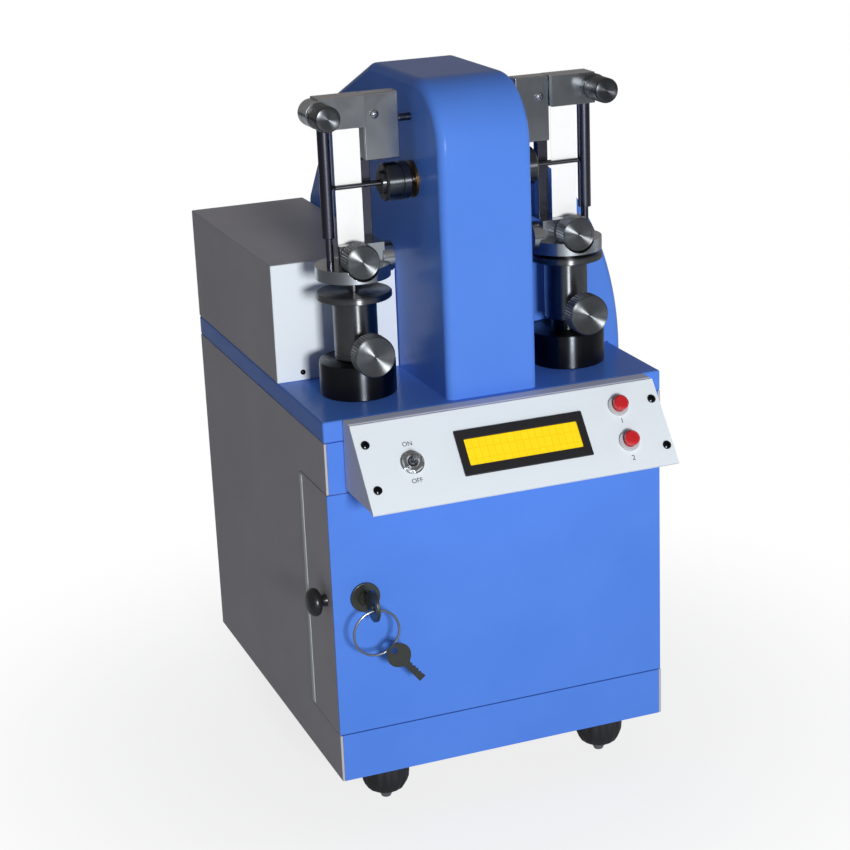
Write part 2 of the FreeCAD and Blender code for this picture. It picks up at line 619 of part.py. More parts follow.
def panel_rod(name, across, down, out, radius, height):
    bar = doc.addObject("Part::Cylinder", name)
    tie(bar, Radius=radius, Height=height)
    return on_panel(bar, across, down, out)


LCD_DOWN = "(%s / 2)" % SLOPE_LONG
plate = panel_block("panel_plate", "0", LCD_DOWN, "-panel_thick", "console_width", SLOPE_LONG,
                    "panel_thick")
lcd_cut = panel_block("lcd_cut", "lcd_centre", LCD_DOWN, "-panel_thick - 1", "lcd_length - 3",
                      "lcd_height - 3", "panel_thick + 2")
switch_places = [("toggle", "toggle_place", LCD_DOWN), ("upper", "button_place", "upper_drop"),
                 ("lower", "button_place", "lower_drop")]
switch_cuts = []
bushes = []
for label, across, down in switch_places:
    switch_cuts.append(panel_rod(label + "_cut", across, down, "-panel_thick - 1",
                                 "button_radius + 0.6", "panel_thick + 2"))
    head = panel_rod(label + "_head", across, down, "0", "bush_radius", "bush_stand")
    body = panel_rod(label + "_body", across, down, "-switch_body", "button_radius + 0.6",
                     "switch_body + 0.5")
    if label == "toggle":
        well = panel_rod(label + "_well", across, down, "-2", "lever_ball + running_fit + 0.6",
                         "bush_stand + 3")
    else:
        well = panel_rod(label + "_well", across, down, "-button_travel - 3",
                         "button_radius - 0.6 + running_fit", "bush_stand + button_travel + 4")
    bushes.append(cut(label + "_bush", joined(label + "_set", head, body), well))
node("console_panel", cut("console_panel_cut", plate, lcd_cut, *switch_cuts))
node("control_bushes", group("control_bush_set", *bushes))

bezel = panel_block("bezel_frame", "lcd_centre", LCD_DOWN, "-panel_thick - 4", "lcd_length - 3.2",
                    "lcd_height - 3.2", "panel_thick + 4.5")
bezel_lip = panel_block("bezel_lip", "lcd_centre", LCD_DOWN, "0", "lcd_length", "lcd_height", "1.5")
window = panel_block("bezel_window", "lcd_centre", LCD_DOWN, "-panel_thick - 3", "window_length",
                     "window_height", "panel_thick + 6")
node("lcd_bezel", cut("lcd_bezel_cut", joined("lcd_bezel_set", bezel, bezel_lip), window))
node("lcd_screen", panel_block("lcd_glass", "lcd_centre", LCD_DOWN, "-panel_thick - 3",
                               "window_length", "window_height", "panel_thick + 3.6"))

for label, down in (("upper", "upper_drop"), ("lower", "lower_drop")):
    shoulder = "(button_stem + bush_stand + button_travel + 0.3)"
    cap = turned(label + "_cap", [
        ("0", "0"), ("button_radius - 0.6", "0"), ("button_radius - 0.6", shoulder),
        ("button_radius", shoulder), ("button_radius", shoulder + " + button_cap - 0.8"),
        ("button_radius - 0.9", shoulder + " + button_cap"), ("0", shoulder + " + button_cap + 0.2")])
    on_panel(cap, "button_place", down, "-button_stem")
    node(label + "_button", cap)

lever = turned("lever_shape", [
    ("0", "0"), ("lever_radius", "0"), ("lever_radius * 0.8", "lever_long * 0.5"),
    ("lever_radius", "lever_long * 0.8"), ("lever_radius * 1.1", "lever_long * 0.93"),
    ("lever_radius * 0.7", "lever_long"), ("0", "lever_long + 0.2")])
on_panel(lever, "toggle_place", LCD_DOWN, "0")
pivot = doc.addObject("Part::Sphere", "lever_pivot")
tie(pivot, Radius="lever_ball")
on_panel(pivot, "toggle_place", LCD_DOWN, "0.4")
node("toggle_lever", joined("toggle_lever_set", lever, pivot))

# Tower hood: a rounded brow, flat top and long rear slope, hollow for the drive


def tower(name, wall):
    """The hood's side view, drawn in Y and Z and carried across its width."""
    body = extruded(name, "YZ_Plane", [
        (wall, "0"), (wall, "hood_height - (%s)" % wall), ("hood_flat", "hood_height - (%s)" % wall),
        ("hood_shoulder - 0.4 * (%s)" % wall, "hood_shoulder_rise - 0.9 * (%s)" % wall),
        ("hood_depth - 3 - (%s)" % wall, "hood_height * 0.42"), ("hood_depth - (%s)" % wall, "0")],
        "hood_width - 2 * (%s)" % wall)
    put(body, "-hood_width / 2 + " + wall, FRONT + " + hood_setback", DECK)
    high = number_of("hood_height - (%s)" % wall)
    deep = number_of(wall)
    rounded(body, name + "_brow", "hood_brow - (%s)" % wall,
            lambda e: along(e, V(1, 0, 0)) and abs(e.BoundBox.ZMax - high) < 0.01
            and abs(e.BoundBox.YMin - deep) < 0.01)
    return body


hood = tower("hood_outer", "0")
ROOT = 0.01
rounded(hood, "hood_rear_corners", "hood_brow / 3",
        lambda e: along(e, V(1, 0, 0)) and e.BoundBox.ZMin > 1
        and e.BoundBox.YMin > number_of("hood_flat") / 2)
half = number_of("hood_width")
rounded(hood, "hood_long_edges", "hood_edge",
        lambda e: e.BoundBox.ZMax > ROOT and (e.BoundBox.XLength < ROOT)
        and (e.BoundBox.XMin < ROOT or e.BoundBox.XMax > half - ROOT))
hood_hollow = tower("hood_inner", "hood_wall")
bearing_seat = rod("bearing_seat", "-hood_width / 2 - 1", AXIS_Y, AXIS_Z, "bearing_radius",
                   "hood_width + 2", ALONG_X)
MOTOR_Y = "(%s + motor_back)" % FRONT
MOTOR_Z = "(%s + motor_height)" % DECK
motor_port = rod("motor_port", "0", MOTOR_Y, MOTOR_Z, "drive_radius + pulley_flange + 2",
                 "hood_width / 2 + 1", ALONG_X)
node("tower_hood", cut("tower_hood_shell", hood, hood_hollow, bearing_seat, motor_port))

# Control box on the left of the deck
BOX_Y = "(%s + box_setback)" % FRONT
BOX_RIGHT = "(-hood_width / 2 - box_gap)"
BOX_LONG = "(%s - (-%s))" % (BOX_RIGHT, HALF)
box_out = block("box_outer", "-" + HALF, BOX_Y + " + box_wall", DECK, BOX_LONG,
                "cabinet_depth - box_setback - box_wall", "box_height")
box_in = block("box_inner", "-%s + box_wall" % HALF, BOX_Y, DECK + " - 1", BOX_LONG + " - 2 * box_wall",
               "cabinet_depth - box_setback - box_wall", "box_height + 1 - box_wall")
node("control_box_cover", cut("control_box_shell", box_out, box_in))
node("control_box_front", block("box_front_plate", "-" + HALF, BOX_Y, DECK, BOX_LONG, "box_wall",
                                "box_height"))


def quarter(name, wall, start_y, deep):
    """A quarter of an ellipse in X and Z, from the hood down to beyond the deck's side."""
    body = doc.addObject("PartDesign::Body", name)
    sketch = body.newObject("Sketcher::SketchObject", name + "_outline")
    origin_plane = [o for o in body.Origin.OriginFeatures if o.Role == "XZ_Plane"][0]
    sketch.AttachmentSupport = [(origin_plane, "")]
    sketch.MapMode = "FlatFace"
    reach = number_of("%s + cover_overhang - hood_width / 2 - box_gap - (%s)" % (HALF, wall))
    rise = number_of("cover_rise + cover_skirt - (%s)" % wall)
    arc = Part.ArcOfEllipse(Part.Ellipse(V(0, rise, 0), V(reach, 0, 0), V(0, 0, 0)), 0, math.pi / 2)
    if rise < reach:
        arc = Part.ArcOfEllipse(Part.Ellipse(V(reach, 0, 0), V(0, rise, 0), V(0, 0, 0)), 0, math.pi / 2)
    ends = [V(0, rise, 0), V(0, 0, 0), V(reach, 0, 0)]
    sketch.addGeometry(arc, False)
    sketch.addGeometry(Part.LineSegment(ends[0], ends[1]), False)
    sketch.addGeometry(Part.LineSegment(ends[1], ends[2]), False)
    pad = body.newObject("PartDesign::Pad", name + "_pad")
    pad.Profile = sketch
    tie(pad, Length=deep)
    pad.Reversed = True
    body.Tip = pad
    put(body, "hood_width / 2 + box_gap", start_y, DECK + " - cover_skirt")
    return body


COVER_Y = "(%s + cover_setback)" % FRONT
dome = quarter("dome_outer", "0", COVER_Y, "cover_depth")
rounded(dome, "dome_edges", "cover_edge",
        lambda e: e.Curve.TypeId in ("Part::GeomEllipse", "Part::GeomBSplineCurve"))
dome_hollow = quarter("dome_inner", "box_wall + 2", COVER_Y + " + box_wall + 2",
                      "cover_depth - 2 * box_wall - 4")
put(dome_hollow, "hood_width / 2 + box_gap - 0.01", COVER_Y + " + box_wall + 2",
    DECK + " - cover_skirt - 0.01")
deck_room = block("deck_room", "hood_width / 2 - 5", FRONT, UNDER_DECK,
                  "%s - hood_width / 2 + 5 + box_gap" % HALF, "cabinet_depth", "deck_thick")
node("motor_cover", cut("motor_cover_shell", dome, dome_hollow, deck_room))

# Drive: through shaft with a folding head at each end, belt and motor
SHAFT_HALF = "(hub_start + hub_long)"
node("folding_shaft", rod("shaft_bar", "-" + SHAFT_HALF, AXIS_Y, AXIS_Z, "shaft_radius",
                          "2 * " + SHAFT_HALF, ALONG_X))
hub_body = rod("hub_body", "hub_start", AXIS_Y, AXIS_Z, "hub_radius", "hub_long", ALONG_X)
hub_step = rod("hub_step", "hub_start + hub_long", AXIS_Y, AXIS_Z, "hub_radius * 0.6", "2", ALONG_X)
hub_bore = rod("hub_bore", "hub_start - 1", AXIS_Y, AXIS_Z, "shaft_radius", "hub_long + 1", ALONG_X)
fold_pins = []
PIN_REACH = "(post_place - post_radius - pin_short - %s)" % SHAFT_HALF
for label, side in (("front", "-"), ("rear", "+")):
    fold_pins.append(rod("fold_pin_" + label, SHAFT_HALF, "%s %s pin_spread" % (AXIS_Y, side),
                         AXIS_Z, "fold_pin", PIN_REACH, ALONG_X))
hub = joined("fold_head", cut("hub_bored", joined("hub_turned", hub_body, hub_step), hub_bore), *fold_pins)
node("folding_heads", group("folding_head_pair", hub, mirrored("fold_head_left", hub)))

bush_ring = rod("bush_ring", "hood_width / 2 - hood_wall", AXIS_Y, AXIS_Z, "bearing_radius",
                "hood_wall", ALONG_X)
bush_lip = rod("bush_lip", "hood_width / 2", AXIS_Y, AXIS_Z, "bearing_flange", "flange_thick", ALONG_X)
bush_bore = rod("bush_bore", "hood_width / 2 - hood_wall - 1", AXIS_Y, AXIS_Z,
                "shaft_radius + running_fit", "hood_wall + flange_thick + 2", ALONG_X)
bearing = cut("bearing_bored", joined("bearing_set", bush_ring, bush_lip), bush_bore)
node("shaft_bearings", group("bearing_pair", bearing, mirrored("bearing_left", bearing)))


def pulley(name, radius, bore, y, z):
    """A flanged pulley across the middle plane."""
    wide = "pulley_wide"
    body = turned(name, [
        (bore, "0"), ("%s + pulley_flange" % radius, "0"), ("%s + pulley_flange" % radius, "flange_wide"),
        (radius, "flange_wide"), (radius, wide + " - flange_wide"),
        ("%s + pulley_flange" % radius, wide + " - flange_wide"), ("%s + pulley_flange" % radius, wide),
        (bore, wide)])
    return put(body, "-pulley_wide / 2", y, z, ALONG_X)


node("driven_pulley", pulley("driven_pulley_body", "driven_radius", "shaft_radius", AXIS_Y, AXIS_Z))
motor_axle = rod("motor_axle", "-pulley_wide / 2 - 1", MOTOR_Y, MOTOR_Z, "motor_shaft",
                 "hood_width / 2 + pulley_wide / 2 + 1 + axle_deep", ALONG_X)
node("motor_pulley", joined("motor_pulley_set", pulley("motor_pulley_body", "drive_radius",
                                                       "motor_shaft / 2", MOTOR_Y, MOTOR_Z), motor_axle))


def belt_slab(name, spread, wide):
    """The solid a belt goes round: two discs and the block between their outer tangents."""
    dy = number_of("motor_back - axis_back")
    dz = number_of("motor_height - axis_height")
    big = number_of("driven_radius + (%s)" % spread)
    small = number_of("drive_radius + (%s)" % spread)
    far = math.hypot(dy, dz)
    lean = math.atan2(dz, dy)
    open_angle = math.acos((big - small) / far)
    corners = []
    for centre, radius, sign in (((0, 0), big, 1), ((dy, dz), small, 1), ((dy, dz), small, -1),
                                 ((0, 0), big, -1)):
        angle = lean + sign * open_angle
        corners.append(V(0, centre[0] + radius * math.cos(angle), centre[1] + radius * math.sin(angle)))
    run = V(number_of(wide), 0, 0)
    slab = Part.Face(Part.makePolygon(corners + corners[:1])).extrude(run)
    big_disc = Part.makeCylinder(big, run.x, V(0, 0, 0), V(1, 0, 0))
    small_disc = Part.makeCylinder(small, run.x, V(0, dy, dz), V(1, 0, 0))
    return slab.fuse([big_disc, small_disc]).removeSplitter()


belt = doc.addObject("Part::Feature", "belt_loop")
belt.Shape = belt_slab("outer", "belt_gap + belt_thick", "belt_wide").cut(
    belt_slab("inner", "belt_gap", "belt_wide"))
put(belt, "-belt_wide / 2", AXIS_Y, AXIS_Z)
node("drive_belt", belt)

MOTOR_X = "(hood_width / 2)"
motor_case = block("motor_case", MOTOR_X + " + 0.3", MOTOR_Y + " - motor_side / 2",
                   MOTOR_Z + " - motor_side / 2", "motor_long", "motor_side", "motor_side")
motor_spigot = rod("motor_spigot", MOTOR_X + " - 1.5", MOTOR_Y, MOTOR_Z,
                   "drive_radius + pulley_flange + 1.8", "3", ALONG_X)
axle_bore = rod("axle_bore", MOTOR_X + " - 2", MOTOR_Y, MOTOR_Z, "motor_shaft + running_fit",
                "axle_deep + 3", ALONG_X)
node("drive_motor", cut("drive_motor_bored", joined("drive_motor_set", motor_case, motor_spigot),
                        axle_bore))

# Test stations, modelled on the right and mirrored to the left
PLATE_LOW = "(%s + hub_radius + plate_bottom)" % AXIS_Z
CLAMP_LOW = "(%s + clamp_bottom)" % AXIS_Z
CLAMP_HIGH = "(%s + clamp_top)" % AXIS_Z
CLAMP_KNOB_Z = "(%s + knob_height)" % AXIS_Z
bracket = block("bracket_plate", "plate_inner", AXIS_Y + " - plate_front", PLATE_LOW,
                "plate_outer - plate_inner", "plate_thick", "%s - %s" % (CLAMP_HIGH, PLATE_LOW))
node("bracket_plates", group("bracket_pair", bracket, mirrored("bracket_left", bracket)))


def clamp_half(name, start_y, bite):
    """Half of a clamp: a bar with a round boss at its outer end, bored for the thumb screw."""
    deep = "(clamp_front - slot_wide / 2)"
    bar = block(name + "_bar", "plate_outer", start_y, CLAMP_LOW, "knob_place - plate_outer", deep,
                "clamp_top - clamp_bottom")
    boss = rod(name + "_boss", "knob_place", start_y, CLAMP_KNOB_Z, "clamp_boss", deep, ALONG_Y)
    tap = rod(name + "_tap", "knob_place", start_y + " - 1", CLAMP_KNOB_Z, "stem_radius + running_fit",
              bite + " + 1", ALONG_Y)
    seat = rod(name + "_post_seat", "post_place", AXIS_Y, CLAMP_LOW + " - 1", "post_radius", "post_seat + 1")
    return cut(name + "_cut", joined(name + "_set", bar, boss), tap, seat)


clamp_face = clamp_half("clamp_face", AXIS_Y + " - clamp_front", "clamp_front")
clamp_back = clamp_half("clamp_back", AXIS_Y + " + slot_wide / 2", "stem_bite - clamp_front")
node("clamp_blocks", group("clamp_pair", clamp_face, clamp_back, mirrored("clamp_face_left", clamp_face),
                           mirrored("clamp_back_left", clamp_back)))

GUIDE_LOW = "(%s + jaw_bottom - jaw_travel)" % DECK
POST_END = "(%s + post_end)" % DECK
post_bar = rod("post_bar", "post_place", AXIS_Y, POST_END, "post_radius",
               "%s + post_seat - %s" % (CLAMP_LOW, POST_END))
post_pin = rod("post_pin", "post_place", AXIS_Y, GUIDE_LOW, "guide_pin", "%s - %s" % (POST_END, GUIDE_LOW))
post = joined("outer_post", post_bar, post_pin)
guide = block("inner_bar", "bar_place - bar_side / 2", AXIS_Y + " + bar_back - bar_side / 2", GUIDE_LOW,
              "bar_side", "bar_side", "%s - %s" % (PLATE_LOW, GUIDE_LOW))
tie_bar = rod("tie_bar", "hood_width / 2", AXIS_Y, AXIS_Z + " + tie_height", "tie_radius",
              "plate_inner - hood_width / 2", ALONG_X)
node("station_rods", group("station_rod_set", post, guide, tie_bar, mirrored("post_left", post),
                           mirrored("guide_left", guide), mirrored("tie_left", tie_bar)))


def thumb_knob(name, radius, long, x, y, z, stem):
    """A turned thumb screw along Y: knob face to the front, stem into its block."""
    body = turned(name, [
        ("0", "0"), (radius + " - 0.8", "0"), (radius, "0.8"), (radius, long + " - 0.8"),
        (radius + " - 0.8", long), ("stem_radius", long), ("stem_radius", "%s + (%s)" % (long, stem)),
        ("0", "%s + (%s)" % (long, stem))])
    return put(body, x, y, z, ALONG_Y)


clamp_screw = thumb_knob("clamp_screw", "clamp_knob", "clamp_knob_long", "knob_place",
                         AXIS_Y + " - clamp_front - knob_gap - clamp_knob_long", CLAMP_KNOB_Z,
                         "knob_gap + stem_bite")
node("right_clamp_knob", clamp_screw)
node("left_clamp_knob", mirrored("clamp_screw_left", clamp_screw))

JAW_Z = "(%s + jaw_bottom)" % DECK
jaw_disc = rod("jaw_disc", "strip_place", AXIS_Y, JAW_Z, "jaw_flange", "jaw_flange_thick")
jaw_block = block("jaw_block", "jaw_inner", AXIS_Y + " - clamp_front", JAW_Z + " + 1",
                  "jaw_outer - jaw_inner", "clamp_front + jaw_rear", "jaw_top - jaw_bottom - 1")
jaw_boss = rod("jaw_boss", "jaw_inner - jaw_wheel_long", AXIS_Y, JAW_Z + " + jaw_wheel + 0.5",
               "jaw_wheel", "jaw_wheel_long + 1", ALONG_X)
jaw_slot = block("jaw_slot", "strip_place - strip_width / 2 - 1", AXIS_Y + " - slot_wide / 2",
                 DECK + " + jaw_top - slot_deep", "strip_width + 2", "slot_wide", "slot_deep + 1")
jaw_post_bore = rod("jaw_post_bore", "post_place", AXIS_Y, JAW_Z + " - 2", "guide_pin + running_fit",
                    "jaw_top - jaw_bottom + 4")
jaw_bar_bore = block("jaw_bar_bore", "bar_place - bar_side / 2 - running_fit",
                     AXIS_Y + " + bar_back - bar_side / 2 - running_fit", JAW_Z + " - 2",
                     "bar_side + 2 * running_fit", "bar_side + 2 * running_fit",
                     "jaw_top - jaw_bottom + 4")
jaw_tap = rod("jaw_tap", "strip_place", AXIS_Y + " - clamp_front - 1", DECK + " + jaw_knob_height",
              "stem_radius + running_fit", "jaw_bite + 1.3", ALONG_Y)
jaw_pocket = rod("jaw_pocket", "strip_place", AXIS_Y + " - jaw_flange - 2", DECK + " + jaw_knob_height",
                 "jaw_knob + 0.5", "jaw_flange + 2 - clamp_front", ALONG_Y)
jaw_rod_seat = rod("jaw_rod_seat", "strip_place", AXIS_Y, JAW_Z + " - 1", "rod_radius", "7")
jaw = cut("jaw_cut", joined("jaw_set", jaw_disc, jaw_block, jaw_boss), jaw_slot, jaw_post_bore,
          jaw_bar_bore, jaw_tap, jaw_pocket, jaw_rod_seat)
node("right_jaw", jaw)
node("left_jaw", mirrored("jaw_left", jaw))

jaw_screw = thumb_knob("jaw_screw", "jaw_knob", "jaw_knob_long", "strip_place",
                       AXIS_Y + " - clamp_front - knob_gap - jaw_knob_long", DECK + " + jaw_knob_height",
                       "knob_gap + jaw_bite")
node("right_jaw_knob", jaw_screw)
node("left_jaw_knob", mirrored("jaw_screw_left", jaw_screw))

rod_bar = rod("jaw_rod_bar", "strip_place", AXIS_Y, DECK + " + seat_height - seat_thick", "rod_radius",
              "jaw_bottom + 6 - seat_height + seat_thick")
rod_seat = rod("jaw_rod_disc", "strip_place", AXIS_Y, DECK + " + seat_height - seat_thick", "seat_radius",
               "seat_thick")
jaw_rod = joined("jaw_rod", rod_bar, rod_seat)
node("right_jaw_rod", jaw_rod)
node("left_jaw_rod", mirrored("jaw_rod_left", jaw_rod))

pedestal = turned("pedestal", [
    ("0", "0"), ("base_radius", "0"), ("base_radius", "base_height - 1.5"),
    ("base_radius - 1.5", "base_height"), ("mast_radius", "base_height"), ("mast_radius", "mast_top"),
    ("mast_bore", "mast_top"), ("mast_bore", "mast_floor"), ("0", "mast_floor")])
put(pedestal, "strip_place", AXIS_Y, DECK)
node("load_bases", group("base_pair", pedestal, mirrored("base_left", pedestal)))


DISC_LOW = "(jaw_bottom - jaw_travel - knob_gap - lift_right - disc_thick)"
SLEEVE_LOW = "(base_height + sleeve_start)"


def load_unit(label, lift):
    """A load sleeve with its disc, lock knob and spring, lifted above the lowest setting."""
    disc_at = "%s - %s" % (DISC_LOW, SLEEVE_LOW)
    sleeve = turned(label + "_sleeve_body", [
        ("mast_radius + running_fit", "0"), ("sleeve_radius", "0"), ("sleeve_radius", disc_at),
        ("disc_radius", disc_at), ("disc_radius", disc_at + " + disc_thick - 0.8"),
        ("disc_radius - 0.8", disc_at + " + disc_thick"), ("disc_bore", disc_at + " + disc_thick"),
        ("disc_bore", disc_at), ("mast_radius + running_fit", disc_at)])
    put(sleeve, "strip_place", AXIS_Y, "%s + %s + %s" % (DECK, SLEEVE_LOW, lift))
    tap = rod(label + "_sleeve_tap", "strip_place", AXIS_Y + " - sleeve_radius - 1",
              "%s + lock_knob_height + %s" % (DECK, lift), "stem_radius + running_fit",
              "sleeve_radius - mast_radius + 1", ALONG_Y)
    screw = thumb_knob(label + "_lock_screw", "lock_knob", "lock_knob_long", "strip_place",
                       AXIS_Y + " - base_radius - knob_gap - lock_knob_long",
                       "%s + lock_knob_height + %s" % (DECK, lift),
                       "base_radius + knob_gap - mast_radius - 0.3")
    coil = doc.addObject("Part::Helix", label + "_coil")
    spring_long = "(%s + %s - seat_height - 2 * spring_wire)" % (DISC_LOW, lift)
    tie(coil, Pitch=spring_long + " / 6", Height=spring_long, Radius="spring_coil")
    wire = doc.addObject("Part::Circle", label + "_wire")
    tie(wire, Radius="spring_wire")
    put(wire, "spring_coil", "0", "0", TOWARDS_FRONT)
    spring = doc.addObject("Part::Sweep", label + "_spring_sweep")
    spring.Sections = [wire]
    spring.Spine = (coil, [])
    spring.Solid = True
    spring.Frenet = True
    put(spring, "strip_place", AXIS_Y, DECK + " + seat_height + spring_wire")
    return cut(label + "_sleeve_bored", sleeve, tap), screw, spring


for label, lift in (("right", "lift_right"), ("left", "0")):
    pieces = load_unit(label, lift)
    if label == "left":
        pieces = [mirrored("left_load_%d" % i, piece) for i, piece in enumerate(pieces)]
    for name, piece in zip(("load_sleeve", "lock_knob", "load_spring"), pieces):
        node(label + "_" + name, piece)


def paper(name, low, high):
    """A stretch of the paper strip between two heights above the deck."""
    return block(name, "strip_place - strip_width / 2", AXIS_Y + " - strip_thick / 2",
                 "%s + %s" % (DECK, low), "strip_width", "strip_thick", "%s - (%s)" % (high, low))


upper = paper("strip_upper", "axis_height + fold_half + 0.2", "axis_height + clamp_bottom + slot_deep")
node("paper_strips_upper", group("strip_upper_pair", upper, mirrored("strip_upper_left", upper)))
fold = paper("strip_fold", "(axis_height - fold_half)", "(axis_height + fold_half)")
node("paper_folds", group("strip_fold_pair", fold, mirrored("strip_fold_left", fold)))
lower = paper("strip_lower", "(jaw_top - slot_deep + 0.5)", "(axis_height - fold_half - 0.2)")
node("right_paper_lower", lower)
node("left_paper_lower", mirrored("strip_lower_left", lower))

# Levelling feet: a black knob on a screw with a pointed tip, screwed into the base pan
for label, foot_x, foot_y in foot_places:
    foot = turned(label + "_body", [
        ("0", "0"), ("foot_tip * 0.6", "0"), ("foot_tip", "foot_drop - foot_knob_rise - 1"),
        ("foot_tip", "foot_drop - foot_knob_rise"), ("foot_radius * 0.7", "foot_drop - foot_knob_rise"),
        ("foot_radius * 0.93", "foot_drop - foot_knob_rise * 0.72"),
        ("foot_radius", "foot_drop - foot_knob_rise * 0.4"), ("foot_radius", "foot_drop - 1.3"),
        ("foot_radius - 1", "foot_drop - 0.3"), ("foot_screw", "foot_drop - 0.3"),
        ("foot_screw", "foot_drop + foot_screw_top"), ("0", "foot_drop + foot_screw_top")])
    put(foot, foot_x, foot_y, "0")
    node(label, foot)

# Mains inlet with its filter and supply box, on the back panel's inside
inlet_face = block("inlet_face", INLET_X + " - inlet_width / 2", BACK + " - sheet_wall - 2",
                   INLET_Z + " - inlet_height / 2", "inlet_width", "2", "inlet_height")
inlet_nose = block("inlet_nose", INLET_X + " - inlet_width / 2 + 2.2", BACK + " - sheet_wall - 2",
                   INLET_Z + " - inlet_height / 2 + 2.2", "inlet_width - 4.4", "sheet_wall + 2",
                   "inlet_height - 4.4")
inlet_case = block("inlet_case", INLET_X + " - inlet_width / 2 + 1", BACK + " - sheet_wall - supply_long",
                   INLET_Z + " - inlet_height / 2 + 1", "inlet_width - 2", "supply_long - 1",
                   "inlet_height - 2")
inlet_socket = block("inlet_socket", INLET_X + " - socket_width / 2", BACK + " - socket_deep",
                     INLET_Z + " - socket_height / 2", "socket_width", "socket_deep + 1", "socket_height")
blades = [block("inlet_blade_%d" % i, "%s %s - 1" % (INLET_X, across), BACK + " - socket_deep - 1",
                "%s %s - 2" % (INLET_Z, rise), "2", "socket_deep - 3", "4")
          for i, (across, rise) in enumerate((("- 7", "- 2"), ("+ 7", "- 2"), ("+ 0", "+ 2")))]
inlet_shell = cut("inlet_hollow", joined("inlet_set", inlet_face, inlet_nose, inlet_case), inlet_socket)
node("mains_inlet", joined("mains_inlet_whole", inlet_shell, *blades))

doc.recompute()

# Nothing is written unless every object built and every piece is a valid solid
for thing in doc.Objects:
    if "Invalid" in thing.State or "Error" in thing.State:
        raise RuntimeError("failed: %s %s" % (thing.Name, thing.State))
os.makedirs("parts", exist_ok=True)
for name, thing in parts.items():
    shape = thing.Shape
    if shape.isNull() or not shape.isValid() or not shape.Solids:
        raise RuntimeError("bad shape: " + name)
for name, thing in parts.items():
    thing.Shape.exportStep("parts/%s.step" % name)
print("%d pieces written" % len(parts))
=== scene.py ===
# %% [markdown]
# # A bench folding endurance tester
#
# The real object is a small painted steel cabinet with a tall cast hood on its deck.
# On each side of the hood a strip of paper is held between two clamps and folded to and fro until it tears.
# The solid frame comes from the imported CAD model, and this file gives it finishes and the finer pieces.
# All lengths are in metres, X to the right, Y to the back and Z up.

import json
import math

import bmesh
import bpy
import numpy as np
from mathutils import Matrix, Vector


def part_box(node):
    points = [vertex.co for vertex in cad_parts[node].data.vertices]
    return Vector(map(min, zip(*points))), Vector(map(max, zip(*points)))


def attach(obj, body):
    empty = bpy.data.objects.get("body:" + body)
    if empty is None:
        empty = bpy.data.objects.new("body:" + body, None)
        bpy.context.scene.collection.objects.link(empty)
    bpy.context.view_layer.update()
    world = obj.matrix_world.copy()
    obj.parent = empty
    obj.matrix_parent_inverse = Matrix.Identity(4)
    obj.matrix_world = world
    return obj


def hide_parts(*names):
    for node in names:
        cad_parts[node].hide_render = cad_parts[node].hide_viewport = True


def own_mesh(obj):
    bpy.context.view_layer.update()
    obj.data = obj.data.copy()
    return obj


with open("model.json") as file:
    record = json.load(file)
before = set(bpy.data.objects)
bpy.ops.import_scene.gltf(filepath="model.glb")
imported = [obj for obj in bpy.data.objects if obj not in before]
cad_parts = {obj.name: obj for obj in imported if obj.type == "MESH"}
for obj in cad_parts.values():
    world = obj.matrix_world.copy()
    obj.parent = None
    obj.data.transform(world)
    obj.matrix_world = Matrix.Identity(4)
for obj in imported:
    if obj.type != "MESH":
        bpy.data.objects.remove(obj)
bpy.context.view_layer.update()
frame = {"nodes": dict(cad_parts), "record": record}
MM = 0.001

# %% [markdown]
# ## Camera
#
# The camera was solved from the straight edges of the cabinet in the photograph.
# It looks from the left and a little above, with a small roll, through a lens of about 87 mm.
# The back vector points from the object to the camera, and the other two axes follow from it and the roll.

# %% Set the camera
AZIMUTH = math.radians(-20.55)
ELEVATION = math.radians(18.38)
ROLL = math.radians(-2.37)
TARGET = Vector((-7.7, -8.85, 195.3)) * MM
DISTANCE = 1.206
LENS_MM = 86.6


def camera_axes(azimuth, elevation, roll):
    """back = (sin a cos e, -cos a cos e, sin e); right is level, and both turn by the roll about back."""
    back = Vector((
        math.sin(azimuth) * math.cos(elevation),
        -math.cos(azimuth) * math.cos(elevation),
        math.sin(elevation),
    ))
    right = Vector((math.cos(azimuth), math.sin(azimuth), 0))
    up = back.cross(right)
    tilted_right = right * math.cos(roll) + up * math.sin(roll)
    tilted_up = up * math.cos(roll) - right * math.sin(roll)
    return tilted_right, tilted_up, back


cam_right, cam_up, cam_back = camera_axes(AZIMUTH, ELEVATION, ROLL)
cam_data = bpy.data.cameras.new("photo_camera")
cam_data.lens = LENS_MM
cam_data.sensor_width = 36
cam_data.clip_end = 50
camera = bpy.data.objects.new("photo_camera", cam_data)
bpy.context.scene.collection.objects.link(camera)
turn = Matrix((cam_right, cam_up, cam_back)).transposed().to_4x4()
camera.matrix_world = Matrix.Translation(TARGET + cam_back * DISTANCE) @ turn
bpy.context.scene.camera = camera
print("camera at", [round(c, 3) for c in camera.matrix_world.translation])

# %% [markdown]
# ## Colours and shader nodes
#
# Colours are written as on a paint card, in sRGB hex, and one function turns them to linear light.
# A single small function adds a node, sets its sockets and links its inputs.

# %% Colour and node helpers


def linear(code):
    """sRGB hex to linear red, green, blue and alpha: a power curve of 2.4 above a short straight toe."""
    srgb = np.array([int(code[i:i + 2], 16) for i in (1, 3, 5)]) / 255
    value = np.where(srgb <= 0.04045, srgb / 12.92, ((srgb + 0.055) / 1.055) ** 2.4)
    return (*value.tolist(), 1.0)


